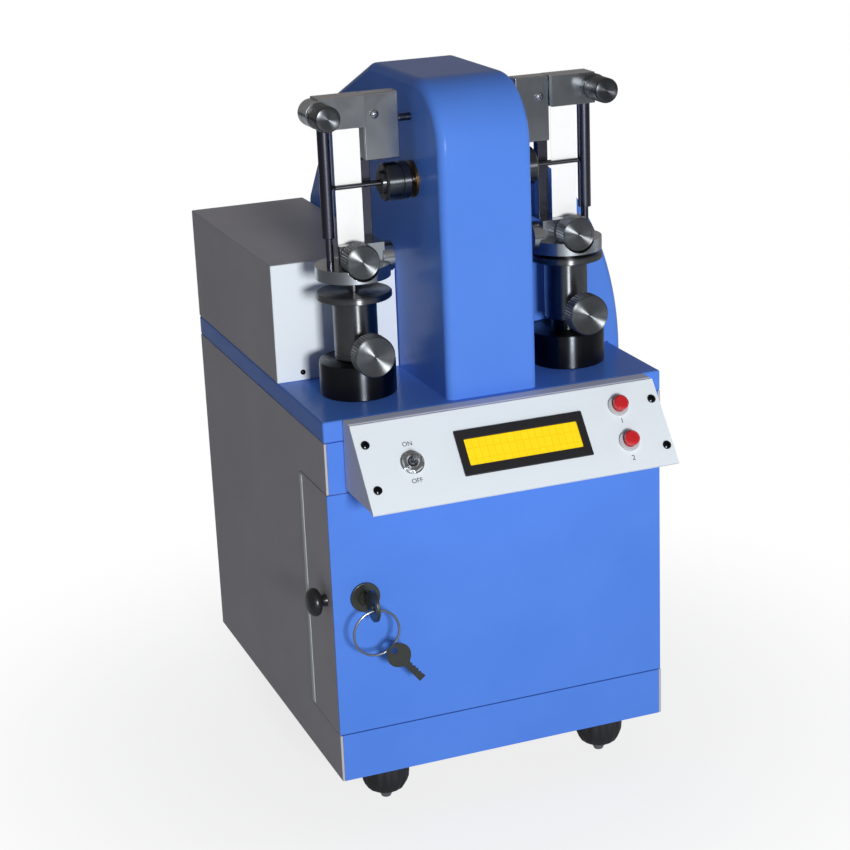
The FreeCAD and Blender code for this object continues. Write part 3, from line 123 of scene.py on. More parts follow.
def add_node(tree, kind, fields=None, **sockets):
    """Adds one node; fields are its own settings, sockets are values or outputs to link in."""
    node = tree.nodes.new(kind)
    for name, value in (fields or {}).items():
        setattr(node, name, value)
    for name, value in sockets.items():
        key = int(name[1:]) if name[0] == "i" and name[1:].isdigit() else name.replace("_", " ")
        socket = node.inputs[key]
        if isinstance(value, bpy.types.NodeSocket):
            tree.links.new(value, socket)
        else:
            socket.default_value = value
    return node


def start_material(name):
    """An empty material with its node tree and output."""
    material = bpy.data.materials.new(name)
    material.use_nodes = True
    tree = material.node_tree
    tree.nodes.clear()
    return material, tree, tree.nodes.new("ShaderNodeOutputMaterial")


def blend_colours(tree, factor, first, second):
    """One colour turning into another as factor goes from 0 to 1."""
    mix = tree.nodes.new("ShaderNodeMix")
    mix.data_type = "RGBA"
    tree.links.new(factor, mix.inputs["Factor"])
    mix.inputs[6].default_value = linear(first)
    mix.inputs[7].default_value = linear(second)
    return mix.outputs[2]


# %% [markdown]
# ## Painted steel
#
# The cabinet, deck, hood and covers are coated with baked polyester powder paint.
# A powder coat flows out into a faint orange peel about 2 mm across, under a glossy skin.
# The blue parts are glossy; the grey sheet is a satin coat that scatters the light more.

# %% Paint finishes


def powder_coat(name, shade, deeper, roughness, peel_mm, peel_height_mm, gloss):
    """Polyester powder coat: a base colour with slow variation, orange peel and a clear gloss."""
    material, tree, output = start_material(name)
    place = add_node(tree, "ShaderNodeTexCoord").outputs["Object"]
    slow = add_node(tree, "ShaderNodeTexNoise", Vector=place, Scale=18.0, Detail=3.0, Roughness=0.6)
    peel = add_node(tree, "ShaderNodeTexNoise", Vector=place, Scale=1 / (peel_mm * MM), Detail=2.0)
    colour = blend_colours(tree, slow.outputs["Fac"], shade, deeper)
    bump = add_node(tree, "ShaderNodeBump", Strength=0.5, Distance=peel_height_mm * MM,
                    Height=peel.outputs["Fac"])
    worn = add_node(tree, "ShaderNodeMapRange", Value=slow.outputs["Fac"], To_Min=roughness * 0.8,
                    To_Max=roughness * 1.25)
    skin = add_node(tree, "ShaderNodeBsdfPrincipled", Base_Color=colour, Roughness=worn.outputs["Result"],
                    Specular_IOR_Level=0.07, Normal=bump.outputs["Normal"], Coat_Weight=gloss,
                    Coat_Roughness=0.06, Coat_IOR=1.3)
    tree.links.new(skin.outputs["BSDF"], output.inputs["Surface"])
    return material


FINISH = {
    "blue_paint": powder_coat("blue_gloss_powder_coat", "#5A89E4", "#4F7FDA", 0.24, 2.0, 0.012, 0.07),
    "grey_paint": powder_coat("light_grey_satin_powder_coat", "#C0BCC0", "#B4B1B6", 0.42, 1.6, 0.02, 0.0),
    "pale_paint": powder_coat("lavender_grey_powder_coat", "#D9DBEA", "#CFD1E2", 0.4, 1.6, 0.015, 0.0),
    "panel_white": powder_coat("off_white_powder_coat", "#E9F0F5", "#E1E9F0", 0.4, 1.6, 0.012, 0.0),
    "motor_black": powder_coat("black_stove_enamel", "#1E1F22", "#26272A", 0.35, 1.6, 0.012, 0.3),
}
print("paints:", sorted(FINISH))

# %% [markdown]
# ## Bare metal
#
# The stations are turned and milled steel with a bright chrome plate.
# A lathe leaves fine grooves round the axis, so a lamp's reflection spreads across them into a long streak,
# which on a knob's face becomes a bow tie. The streak comes from an anisotropic gloss, and its direction
# from the piece's own UV map, in which U runs round the axis.

# %% Metal finishes


def bright_metal(name, shade, deeper, roughness, streak, grain_mm, turned_piece):
    """Plated or brushed metal; a turned piece takes its groove direction from its UV map."""
    material, tree, output = start_material(name)
    place = add_node(tree, "ShaderNodeTexCoord").outputs["Object"]
    cloud = add_node(tree, "ShaderNodeTexNoise", Vector=place, Scale=60.0, Detail=4.0, Roughness=0.65)
    grain = add_node(tree, "ShaderNodeTexNoise", Vector=place, Scale=1 / (grain_mm * MM), Detail=2.0)
    colour = blend_colours(tree, cloud.outputs["Fac"], shade, deeper)
    spread = add_node(tree, "ShaderNodeMapRange", Value=cloud.outputs["Fac"], To_Min=roughness * 0.7,
                      To_Max=roughness * 1.4)
    bump = add_node(tree, "ShaderNodeBump", Strength=0.25, Distance=0.01 * MM, Height=grain.outputs["Fac"])
    skin = add_node(tree, "ShaderNodeBsdfPrincipled", Base_Color=colour, Metallic=1.0,
                    Roughness=spread.outputs["Result"], Normal=bump.outputs["Normal"])
    if turned_piece:
        grooves = add_node(tree, "ShaderNodeTangent", {"direction_type": "UV_MAP", "uv_map": "lathe"})
        skin.inputs["Anisotropic"].default_value = streak
        skin.inputs["Anisotropic Rotation"].default_value = 0.25
        tree.links.new(grooves.outputs["Tangent"], skin.inputs["Tangent"])
    tree.links.new(skin.outputs["BSDF"], output.inputs["Surface"])
    return material


FINISH["chrome"] = bright_metal("dull_chrome_on_ground_steel", "#B3B8BD", "#9EA3A8", 0.2, 0, 0.8, False)
FINISH["steel"] = bright_metal("ground_tool_steel", "#A8ABB0", "#94979D", 0.26, 0, 0.6, False)
FINISH["aluminium"] = bright_metal("machined_aluminium", "#C3C5C8", "#B4B7BB", 0.3, 0, 0.6, False)
FINISH["bronze"] = bright_metal("sintered_bronze", "#6E5636", "#5C472C", 0.4, 0, 0.5, False)
FINISH["black_metal"] = bright_metal("black_oxide_steel", "#33353A", "#27292E", 0.2, 0, 0.8, False)
# Turned chrome is darker than the bright chrome above: its base colour holds a painted dark reflection of the
# room.
TURNED_CHROME = bright_metal("lathe_turned_chrome", "#7C8083", "#686C6F", 0.34, 1.0, 0.8, True)
TURNED_DARK = bright_metal("polished_black_chrome", "#5E6165", "#4C4F53", 0.28, 0.85, 0.8, True)
TURNED_BLACK = bright_metal("lathe_turned_black_oxide", "#3A3D41", "#2C2F33", 0.3, 0.9, 0.8, True)
# The lock's and the keys' nickel is darkened: painted shade and a painted reflection of a dark room.
SHADED_NICKEL = bright_metal("nickel_plate_painted_shade", "#6A6D66", "#4E514B", 0.3, 0, 0.8, False)
# The posts' dark bluish grey is painted shade and a painted reflection of the blue hood.
BLUE_SHADED_STEEL = bright_metal("steel_bar_painted_blue_reflection", "#5B5C68", "#4A4B55", 0.25, 0, 0.8, False)
print("metals: chrome, steel, aluminium, bronze, black oxide and their turned finishes")

# %% [markdown]
# ## Plastics, rubber and paper
#
# Knobs and bezels are moulded phenolic or ABS, which shows a fine matt texture from the mould.
# The red push buttons and the display's window are glossy plastic.
# Paper is a felt of fibres, so its colour wavers a little along them.

# %% Plastic, rubber and paper finishes


def moulded(name, shade, deeper, roughness, texture_mm, height_mm):
    """Moulded plastic or rubber with a fine mould texture."""
    material, tree, output = start_material(name)
    place = add_node(tree, "ShaderNodeTexCoord").outputs["Object"]
    slow = add_node(tree, "ShaderNodeTexNoise", Vector=place, Scale=90.0, Detail=3.0)
    fine = add_node(tree, "ShaderNodeTexNoise", Vector=place, Scale=1 / (texture_mm * MM), Detail=3.0)
    colour = blend_colours(tree, slow.outputs["Fac"], shade, deeper)
    bump = add_node(tree, "ShaderNodeBump", Strength=0.6, Distance=height_mm * MM,
                    Height=fine.outputs["Fac"])
    skin = add_node(tree, "ShaderNodeBsdfPrincipled", Base_Color=colour, Roughness=roughness,
                    Normal=bump.outputs["Normal"])
    tree.links.new(skin.outputs["BSDF"], output.inputs["Surface"])
    return material


FINISH["black_plastic"] = moulded("black_phenolic_moulding", "#17171A", "#212126", 0.3, 1.0, 0.01)
FINISH["foot_plastic"] = moulded("black_nylon_moulding", "#19191B", "#232326", 0.5, 1.0, 0.03)
FINISH["grey_plastic"] = moulded("pale_grey_abs", "#C4C7CC", "#B6BAC0", 0.35, 1.0, 0.01)
FINISH["red_plastic"] = moulded("red_gloss_abs", "#D2232A", "#BE1B22", 0.18, 1.5, 0.004)
FINISH["belt_rubber"] = moulded("black_neoprene", "#1B1B1C", "#242425", 0.7, 1.0, 0.05)
FINISH["paper"] = moulded("bleached_test_paper", "#FCFCFA", "#F6F6F3", 0.85, 1.2, 0.02)


PANEL_RUN = 31.9
PANEL_DROP = 39.5
SCREEN_LEAN = math.atan2(PANEL_DROP, PANEL_RUN)
SCREEN_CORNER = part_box("lcd_screen")[0]
CELL_WIDE = 4.1 * MM
CELL_TALL = 6.2 * MM
CELL_LINE = 0.25 * MM


def display_glass(name):
    """A lit character display: amber yellow with faint cells, on a slope as steep as the panel's."""
    material, tree, output = start_material(name)
    place = add_node(tree, "ShaderNodeTexCoord").outputs["Object"]
    flat = add_node(tree, "ShaderNodeMapping", {"vector_type": "TEXTURE"}, Vector=place,
                    Location=SCREEN_CORNER, Rotation=(SCREEN_LEAN, 0.0, 0.0)).outputs["Vector"]
    cells = add_node(tree, "ShaderNodeTexBrick", {"offset": 0.0}, Vector=flat,
                     Color1=linear("#F2CC14"), Color2=linear("#EFC810"), Mortar=linear("#E6BE0A"),
                     Scale=1.0, Brick_Width=CELL_WIDE, Row_Height=CELL_TALL, Mortar_Size=CELL_LINE)
    skin = add_node(tree, "ShaderNodeBsdfPrincipled", Base_Color=cells.outputs["Color"], Roughness=0.25,
                    Emission_Color=cells.outputs["Color"], Emission_Strength=0.35)
    tree.links.new(skin.outputs["BSDF"], output.inputs["Surface"])
    return material


FINISH["yellow_screen"] = display_glass("amber_backlit_display")
print("plastics, rubber, paper and the display are ready")

# %% [markdown]
# ## Dress the frame
#
# Each CAD piece keeps its shape and takes the finish that its slot names.

# %% Finish every node
SLOT_OF = {row["node"]: row["material_slot"] for row in frame["record"]["subparts"]}
BODY_OF = {node: body for body, nodes in frame["record"]["behaviour"]["bodies"].items() for node in nodes}
for node, slot in SLOT_OF.items():
    frame["nodes"][node].data.materials.clear()
    frame["nodes"][node].data.materials.append(FINISH[slot])
print("dressed", len(SLOT_OF), "nodes")

# %% [markdown]
# ## Rolled and broken edges
#
# No sheet or plate has a perfectly sharp corner. A press brake leaves a small radius along each bend, and a
# machinist breaks the edges of a block with a file, and these narrow rounds catch the light as thin lines.
# A CAD node's mesh is left alone: a merged copy stands for it, and a Bevel modifier rounds the copy's edges
# with a real width in millimetres for each piece. Hardened normals keep the broad faces flat.
# A few of these pieces have a finish of their own: posts whose dark bluish grey is painted shade and a painted
# reflection of the blue hood, and a lock whose nickel is darkened as painted shade and a painted dark
# reflection.

# %% Edges
FLAT_ANGLE = math.radians(0.5)
SMOOTH_ANGLE = math.radians(32)
BEVEL_ANGLE = math.radians(40)
WELD_GAP = 1e-6
EDGE_MM = {
    "deck_plate": 1.2, "control_box_cover": 1.0, "control_box_front": 0.5, "console_housing": 0.7,
    "console_panel": 0.5, "lcd_bezel": 0.6, "bracket_plates": 0.7, "clamp_blocks": 0.7, "left_jaw": 0.6,
    "right_jaw": 0.6, "left_side_panel": 0.4, "right_side_panel": 0.4, "door_front": 0.4, "door_pan": 0.4,
    "front_rails": 0.4, "back_panel": 0.3, "base_pan": 0.4, "station_rods": 0.35, "mains_inlet": 0.7,
    "control_bushes": 0.4, "drive_motor": 1.0, "lock_barrel": 0.3, "lock_plug": 0.3, "lock_key": 0.3,
    "right_load_spring": 0.05,
}
# The posts and the lock take darkened finishes that hold painted shade and a painted reflection.
OWN_FINISH = {"station_rods": BLUE_SHADED_STEEL, "lock_barrel": SHADED_NICKEL, "lock_plug": SHADED_NICKEL,
              "lock_key": SHADED_NICKEL}


def softened(node, width_mm):
    """A merged copy of a node, its flats made whole, with a bevel of that width on its sharper edges."""
    source = frame["nodes"][node].data
    points = np.empty(len(source.vertices) * 3)
    source.vertices.foreach_get("co", points)
    corners = np.empty(len(source.loops), int)
    source.loops.foreach_get("vertex_index", corners)
    mesh = bpy.data.meshes.new(node + "_softened")
    mesh.from_pydata(points.reshape(-1, 3), [], corners.reshape(-1, 3).tolist())
    work = bmesh.new()
    work.from_mesh(mesh)
    bmesh.ops.remove_doubles(work, verts=work.verts, dist=WELD_GAP)
    bmesh.ops.dissolve_limit(work, angle_limit=FLAT_ANGLE, verts=work.verts, edges=work.edges)
    work.to_mesh(mesh)
    work.free()
    mesh.shade_smooth()
    mesh.set_sharp_from_angle(angle=SMOOTH_ANGLE)
    mesh.materials.append(OWN_FINISH.get(node) or FINISH[SLOT_OF[node]])
    piece = bpy.data.objects.new(node + "_softened", mesh)
    bpy.context.scene.collection.objects.link(piece)
    bevel = piece.modifiers.new("edge", "BEVEL")
    bevel.width = width_mm * MM
    bevel.segments = 2
    bevel.limit_method = "ANGLE"
    bevel.angle_limit = BEVEL_ANGLE
    bevel.harden_normals = True
    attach(piece, BODY_OF[node])
    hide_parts(node)
    return piece


rounded = {node: softened(node, width_mm) for node, width_mm in EDGE_MM.items()}
print("rounded the edges of", len(EDGE_MM), "nodes")

# %% [markdown]
# The right load spring stands on the mast's seat, and its softened copy takes a mesh of its own.

# %% Load spring
low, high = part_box("right_load_spring")
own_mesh(rounded["right_load_spring"])

# %% [markdown]
# ## Surfaces from arrays
#
# Every new piece is a grid of points worked out as one array.
# A turned piece is a profile of radius and height carried round an axis; a ripple on the radius makes
# the ridges of a knurl. The last column meets the first, and a profile that starts and ends on the axis
# closes the surface.

# %% Surface helpers
AXIS_TURN = {
    "+Z": Matrix.Identity(3),
    "-Z": Matrix.Rotation(math.pi, 3, "X"),
    "+Y": Matrix.Rotation(-math.pi / 2, 3, "X"),
    "-Y": Matrix.Rotation(math.pi / 2, 3, "X"),
    "+X": Matrix.Rotation(math.pi / 2, 3, "Y"),
    "-X": Matrix.Rotation(-math.pi / 2, 3, "Y"),
}


def add_mesh(name, points, faces, uv=None):
    """One object at the origin from an array of points in metres and an array or list of faces."""
    mesh = bpy.data.meshes.new(name)
    mesh.from_pydata(points.reshape(-1, 3), [], faces if isinstance(faces, list) else faces.tolist())
    if uv is not None:
        layer = mesh.uv_layers.new(name="lathe")
        layer.data.foreach_set("uv", uv.reshape(-1).astype(np.float32))
    mesh.validate()
    mesh.shade_smooth()
    mesh.set_sharp_from_angle(angle=SMOOTH_ANGLE)
    piece = bpy.data.objects.new(name, mesh)
    bpy.context.scene.collection.objects.link(piece)
    return piece


def ring_faces(rows, columns):
    """Quads between neighbouring rows of a grid whose columns close into a ring."""
    r, c = np.meshgrid(np.arange(rows - 1), np.arange(columns), indexing="ij")
    after = (c + 1) % columns
    return np.stack([r * columns + c, r * columns + after, (r + 1) * columns + after,
                     (r + 1) * columns + c], -1).reshape(-1, 4)


def ring_uv(rows, columns):
    """U runs once round the ring and V along the profile, for each corner of each quad."""
    r, c = np.meshgrid(np.arange(rows - 1), np.arange(columns), indexing="ij")
    u0, u1 = c / columns, (c + 1) / columns
    v0, v1 = r / (rows - 1), (r + 1) / (rows - 1)
    return np.stack([np.stack([u0, v0], -1), np.stack([u1, v0], -1), np.stack([u1, v1], -1),
                     np.stack([u0, v1], -1)], -2)


def turned_points(profile_mm, at, axis="+Z", columns=96, ridges=0, ridge_mm=0.0):
    """P(i, t) = (r cos t, r sin t, h) turned to the axis and moved to `at`.

    A third profile value scales the ripple r += ridge * cos(ridges t) on that row."""
    profile = np.array([(*row, 0.0)[:3] for row in profile_mm], float)
    t = np.linspace(0, 2 * np.pi, columns, endpoint=False)
    radius = profile[:, 0:1] + profile[:, 2:3] * ridge_mm * np.cos(ridges * t)[None, :]
    grid = np.stack([radius * np.cos(t), radius * np.sin(t), np.repeat(profile[:, 1:2], columns, 1)], -1)
    return grid @ np.array(AXIS_TURN[axis]).T * MM + np.array(at, float)


def turned_piece(name, profile_mm, at, axis="+Z", material=None, body=None, replaces=(), **ripple):
    """A turned surface as a finished object that rides on a body."""
    points = turned_points(profile_mm, at, axis, **ripple)
    rows, columns = points.shape[:2]
    piece = add_mesh(name, points, ring_faces(rows, columns), ring_uv(rows, columns))
    return finish_piece(piece, material, body, replaces)


def finish_piece(piece, material, body, replaces=()):
    """Gives a piece its finish, its body and the nodes it stands for."""
    piece.data.materials.append(material)
    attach(piece, body)
    if replaces:
        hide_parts(*replaces)
    return piece


def middle(node):
    """The centre of a node's box."""
    low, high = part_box(node)
    return (low + high) / 2


print("surface helpers ready")

# %% [markdown]
# ## Thumb knobs
#
# Each clamp is closed by a turned knob on a short threaded stem. The jaw's and the column's knobs are
# straight-knurled so that fingers can grip them, and their faces are faced off on the lathe and slightly
# dished, with a centre mark. The upper clamps' knobs are longer, smooth and blackened.
# The rim's ripple is drawn at about 1.6 mm a ridge, a little coarser than a real knurl, so that it shows.

# %% Knobs


def knob_profile(radius, length, stem, reach):
    """Radius, height and ripple share from the face's centre, over the rim, to the stem's end."""
    return [
        (0.0, 0.5), (0.7, 0.25), (1.1, 0.0), (radius * 0.5, 0.18), (radius * 0.78, 0.25),
        (radius - 2.0, 0.0), (radius - 0.9, 0.0), (radius - 0.35, 0.45), (radius - 0.2, 0.9, 0.0),
        (radius - 0.2, 1.0, 1.0), (radius - 0.2, length - 1.2, 1.0), (radius - 0.2, length - 1.1, 0.0),
        (radius - 0.45, length - 0.4), (radius - 0.9, length), (stem + 0.6, length),
        (stem, length + 0.2), (stem, reach - 0.4), (stem - 0.4, reach), (0.0, reach),
    ]


def smooth_knob_profile(radius, length, stem, reach):
    """The same rows without a knurl: a rounded nose, a long barrel and a neck groove."""
    return [
        (0.0, 0.3), (radius * 0.6, 0.12), (radius - 1.1, 0.0), (radius - 0.5, 0.15), (radius - 0.12, 0.55),
        (radius, 1.1), (radius, length - 3.2), (radius - 0.5, length - 2.9), (radius - 0.5, length - 2.3),
        (radius, length - 2.0), (radius, length - 0.5), (radius - 0.5, length), (stem + 0.6, length),
        (stem, length + 0.2), (stem, reach - 0.4), (stem - 0.4, reach), (0.0, reach),
    ]


KNOBS = {
    "clamp_knob": (15.0, smooth_knob_profile, TURNED_DARK, 0.0),
    "jaw_knob": (12.0, knob_profile, TURNED_CHROME, 0.2),
    "lock_knob": (10.0, knob_profile, TURNED_CHROME, 0.2),
}
STEM_RADIUS = 2.5
RIDGE_PITCH = 1.6
for side in ("left", "right"):
    for kind, (length, shape, metal, ridge_mm) in KNOBS.items():
        node = side + "_" + kind
        low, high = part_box(node)
        radius = (high.x - low.x) / 2 / MM
        reach = (high.y - low.y) / MM
        ridges = round(2 * math.pi * radius / RIDGE_PITCH)
        turned_piece(node + "_turned", shape(radius, length, STEM_RADIUS, reach),
                     (middle(node).x, low.y, middle(node).z), "+Y", metal, node, [node],
                     columns=ridges * 4, ridges=ridges, ridge_mm=ridge_mm)
print("two smooth and four knurled knobs")

# %% [markdown]
# ## Load columns
#
# The lower clamp is pulled down by a spring inside a column: a base with a hollow mast, and a sleeve with
# a disc that slides on it and is locked by a knob. Both are turned from bar, so they are profiles carried
# round an upright axis. The base is blackened steel and the sleeve is bright.

# %% Columns


def closed_profile(rows):
    """The profile with its first point again at the end, so that a tube's wall closes."""
    return rows + rows[:1]


SLEEVE_BORE = 8.66
SLEEVE_RADIUS = 12.2
DISC_THICK = 3.5


def sleeve_profile(tall, wide):
    """Outside from the foot up to the disc's top, and down the bore; the disc's hole lets the rod through."""
    under = tall - DISC_THICK
    return closed_profile([
        (SLEEVE_BORE, 0.0), (SLEEVE_RADIUS - 0.6, 0.0), (SLEEVE_RADIUS, 0.6), (SLEEVE_RADIUS, 3.0),
        (SLEEVE_RADIUS - 0.3, 3.2), (SLEEVE_RADIUS - 0.3, 3.8), (SLEEVE_RADIUS, 4.0),
        (SLEEVE_RADIUS, under - 1.6), (SLEEVE_RADIUS + 0.4, under - 0.6), (SLEEVE_RADIUS + 1.2, under),
        (wide - 0.5, under), (wide, under + 0.5), (wide, tall - 0.8), (wide - 0.8, tall),
        (wide * 0.6, tall - 0.12), (3.4, tall - 0.12), (2.3, tall - 0.8), (2.3, under),
        (SLEEVE_BORE, under),
    ])


BASE_RADIUS = 21.3
BASE_RISE = 19.5
MAST_RADIUS = 8.6
MAST_RISE = 44.0
base_profile = [
    (0.0, 0.0), (BASE_RADIUS - 0.6, 0.0), (BASE_RADIUS, 0.6), (BASE_RADIUS, BASE_RISE - 1.6),
    (BASE_RADIUS - 0.4, BASE_RISE - 0.5), (BASE_RADIUS - 1.5, BASE_RISE), (MAST_RADIUS + 0.6, BASE_RISE),
    (MAST_RADIUS, BASE_RISE + 0.3), (MAST_RADIUS, MAST_RISE - 0.5), (MAST_RADIUS - 0.5, MAST_RISE),
    (6.5, MAST_RISE), (6.0, MAST_RISE - 0.5), (6.0, 9.0), (0.0, 9.0),
]
base_grids = []
for side in ("left", "right"):
    low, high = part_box(side + "_load_sleeve")
    centre = middle(side + "_load_sleeve")
    turned_piece(side + "_sleeve_turned", sleeve_profile((high.z - low.z) / MM, (high.x - low.x) / 2 / MM),
                 (centre.x, centre.y, low.z), "+Z", TURNED_CHROME, side + "_load", [side + "_load_sleeve"])
    base_grids.append(turned_points(base_profile, (centre.x, centre.y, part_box("load_bases")[0].z)))
rows, columns = base_grids[0].shape[:2]
two_rings = np.concatenate([ring_faces(rows, columns), ring_faces(rows, columns) + rows * columns])
two_uvs = np.concatenate([ring_uv(rows, columns)] * 2)
bases = add_mesh("load_bases_turned", np.stack(base_grids), two_rings, two_uvs)
finish_piece(bases, TURNED_BLACK, "frame", ["load_bases"])
print("two sleeves and two bases")

# %% [markdown]
# ## Folding heads
#
# The through shaft ends in a hub on each side. Two thin hardened pins stand out of the hub's face, one
# each side of the strip, and fold it as the shaft swings. Hub and pins are turned surfaces in one mesh.

# %% Folding heads
HUB_INNER = 30.0
HUB_LENGTH = 14.0
PIN_SPREAD = 1.7
PIN_RADIUS = 1.2
PIN_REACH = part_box("folding_heads")[1].x / MM - HUB_INNER
hub_profile = [
    (0.0, 0.0), (9.6, 0.0), (10.5, 0.8), (10.5, 4.6), (9.9, 5.0), (9.9, 6.0), (10.5, 6.4), (10.5, 13.2),
    (9.7, HUB_LENGTH), (6.6, HUB_LENGTH), (6.3, HUB_LENGTH + 1.7), (5.9, HUB_LENGTH + 2.0),
    (0.0, HUB_LENGTH + 2.0),
]
pin_profile = [(0.0, HUB_LENGTH), (PIN_RADIUS, HUB_LENGTH), (PIN_RADIUS, PIN_REACH - 0.6),
               (0.6, PIN_REACH), (0.0, PIN_REACH)]
shaft = middle("folding_shaft")
points, faces, uvs, count = [], [], [], 0
for axis, sign in (("+X", 1), ("-X", -1)):
    for profile, shift, across in ((hub_profile, 0.0, 72), (pin_profile, PIN_SPREAD, 24),
                                   (pin_profile, -PIN_SPREAD, 24)):
        grid = turned_points(profile, (sign * HUB_INNER * MM, shaft.y + shift * MM, shaft.z), axis,
                             columns=across)
        points.append(grid.reshape(-1, 3))
        faces.append(ring_faces(*grid.shape[:2]) + count)
        uvs.append(ring_uv(*grid.shape[:2]))
        count += len(points[-1])
heads = add_mesh("folding_heads_turned", np.concatenate(points), np.concatenate(faces),
                 np.concatenate([u.reshape(-1, 2) for u in uvs]))
finish_piece(heads, TURNED_DARK, "fold_drive", ["folding_heads"])
print("folding heads with", count, "points")

# %% [markdown]
# ## Paper strips
#
# The test strip is 15 mm wide and 0.2 mm thick, clamped above and below. The CAD model has it in three
# stiff lengths so that the middle one can fold, with small gaps between them. Here each length is a thin
# slab that reaches almost to the next, so at rest the strip looks whole, as it does in the tester.

# %% Strips
STATION_X = 63.5
STRIP_HALF = 7.5
STRIP_THIN = 0.1
STRIP_LEVELS = 9
STRIP_SHY = 0.01
BREAK_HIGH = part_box("paper_folds")[1].z / MM + 0.1
BREAK_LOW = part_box("paper_folds")[0].z / MM - 0.1


def strip_slab(places, low, high):
    """Closed tubes round Z, four-sided in plan, between two heights less a hair, for each centre across."""
    plan = np.array([(-STRIP_HALF, -STRIP_THIN), (STRIP_HALF, -STRIP_THIN), (STRIP_HALF, STRIP_THIN),
                     (-STRIP_HALF, STRIP_THIN)])
    levels = np.linspace(low + STRIP_SHY, high - STRIP_SHY, STRIP_LEVELS)
    count = 4 * STRIP_LEVELS
    ring = np.stack([np.stack([plan[:, 0] + x, plan[:, 1] + shaft.y / MM, np.full(4, z)], -1)
                     for x in places for z in levels]) * MM
    sides = np.concatenate([ring_faces(STRIP_LEVELS, 4) + k * count for k in range(len(places))])
    caps = [[k * count + c for c in order] for k in range(len(places))
            for order in ((3, 2, 1, 0), range(count - 4, count))]
    return ring, np.concatenate([sides, np.array(caps)])


for name, body, places, low, high, node in (
        ("upper_strips", "frame", (-STATION_X, STATION_X), BREAK_HIGH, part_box("paper_strips_upper")[1].z / MM,
         "paper_strips_upper"),
        ("folding_strips", "fold_drive", (-STATION_X, STATION_X), BREAK_LOW, BREAK_HIGH, "paper_folds"),
        ("left_lower_strip", "left_jaw", (-STATION_X,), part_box("left_paper_lower")[0].z / MM, BREAK_LOW,
         "left_paper_lower"),
        ("right_lower_strip", "right_jaw", (STATION_X,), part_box("right_paper_lower")[0].z / MM, BREAK_LOW,
         "right_paper_lower")):
    strip = add_mesh(name, *strip_slab(places, low, high))
    finish_piece(strip, FINISH["paper"], body, [node])
print("strips break at", round(BREAK_LOW, 2), "and", round(BREAK_HIGH, 2), "mm")

# %% [markdown]
# ## Levelling feet
#
# Each foot is a black moulded knob with finger scallops on a steel screw that ends in a blunt point.
# The scallops are a slow ripple of the radius, and the knob's underside is domed.

# %% Feet
FOOT_RADIUS = 13.7
FOOT_SCALLOPS = 14
SCALLOP_DEEP = 0.35
for foot in ("foot_front_left", "foot_front_right", "foot_rear_left", "foot_rear_right"):
    spot = middle(foot)
    knob = [
        (4.6, 6.4), (8.8, 6.2), (10.6, 7.4, 0.4), (12.3, 10.4, 0.9), (13.3, 13.2, 1.0),
        (FOOT_RADIUS, 17.0, 1.0), (FOOT_RADIUS, 22.6, 1.0), (13.5, 24.4, 0.9), (12.6, 25.6, 0.3),
        (4.2, 25.7),
    ]
    screw = [
        (0.0, 0.0), (1.9, 0.05), (2.7, 0.5), (4.5, 4.6), (4.5, 6.6), (4.0, 6.9), (4.0, 37.4), (3.4, 38.0),
        (0.0, 38.0),
    ]
    point = turned_piece(foot + "_screw", screw, (spot.x, spot.y, 0), "+Z", FINISH["steel"], foot,
                         columns=48)
    turned_piece(foot + "_knob", closed_profile(knob), (spot.x, spot.y, 0), "+Z", FINISH["foot_plastic"],
                 foot, [foot], columns=FOOT_SCALLOPS * 8, ridges=FOOT_SCALLOPS, ridge_mm=SCALLOP_DEEP)
print("four feet")

# %% [markdown]
# ## The slanted panel
#
# Small parts on the panel are placed in the panel's own frame: across, down from its top edge, and out
# along its normal. The panel is held by four pan-head screws with a cross recess. Their heads are domes:
# the height falls with the square of the radius, and two crossed slots are pressed into it.

# %% Panel frame and screws
PANEL_LONG = math.hypot(PANEL_RUN, PANEL_DROP)
PANEL_TOP = Vector((0, -112.35, 238.0))
PANEL_UP = Vector((0, PANEL_RUN, PANEL_DROP)) / PANEL_LONG
PANEL_OUT = Vector((0, -PANEL_DROP, PANEL_RUN)) / PANEL_LONG
PANEL_TURN = Matrix((Vector((1, 0, 0)), PANEL_UP, PANEL_OUT)).transposed()


def on_panel(points_mm, across, down):
    """Points in panel axes (across, up the slope, out), in millimetres, to the row frame in metres."""
    origin = PANEL_TOP + Vector((across, 0, 0)) - PANEL_UP * down
    return (points_mm @ np.array(PANEL_TURN).T + np.array(origin)) * MM


def screw_grid(radius, dome, slot_wide, slot_deep, columns=64, rows=22):
    """h = dome (1 - (r/R)^2), less a slot depth where |x| or |y| is under half the slot's width."""
    r = np.concatenate([np.linspace(0.02, radius * 0.97, rows), [radius, radius, 0.02]])
    t = np.linspace(0, 2 * np.pi, columns, endpoint=False)
    x, y = r[:, None] * np.cos(t), r[:, None] * np.sin(t)
    height = np.repeat((dome * (1 - (r / radius) ** 2) + 0.5)[:, None], columns, 1)
    near = np.minimum(np.abs(x), np.abs(y))
    reach = np.maximum(np.abs(x), np.abs(y))
    across = np.clip((slot_wide - near) / (slot_wide * 0.35), 0, 1)
    recess = across * np.clip((0.62 * radius - reach) * 4, 0, 1)
    height = height - slot_deep * recess
    height[-2:] = 0.0
    return np.stack([x, y, height], -1)[::-1]


PANEL_SCREWS = [(-83.3, 12.0), (-83.1, 37.7), (84.5, 11.8), (84.9, 39.6)]
head = screw_grid(2.4, 0.9, 0.42, 0.75)
rows, columns = head.shape[:2]
grids = np.stack([on_panel(head, *spot) for spot in PANEL_SCREWS])
many = np.concatenate([ring_faces(rows, columns) + k * rows * columns for k in range(len(PANEL_SCREWS))])
panel_screws = add_mesh("panel_screws", grids, many)
finish_piece(panel_screws, FINISH["black_metal"], "frame")
print("panel screws:", len(PANEL_SCREWS))

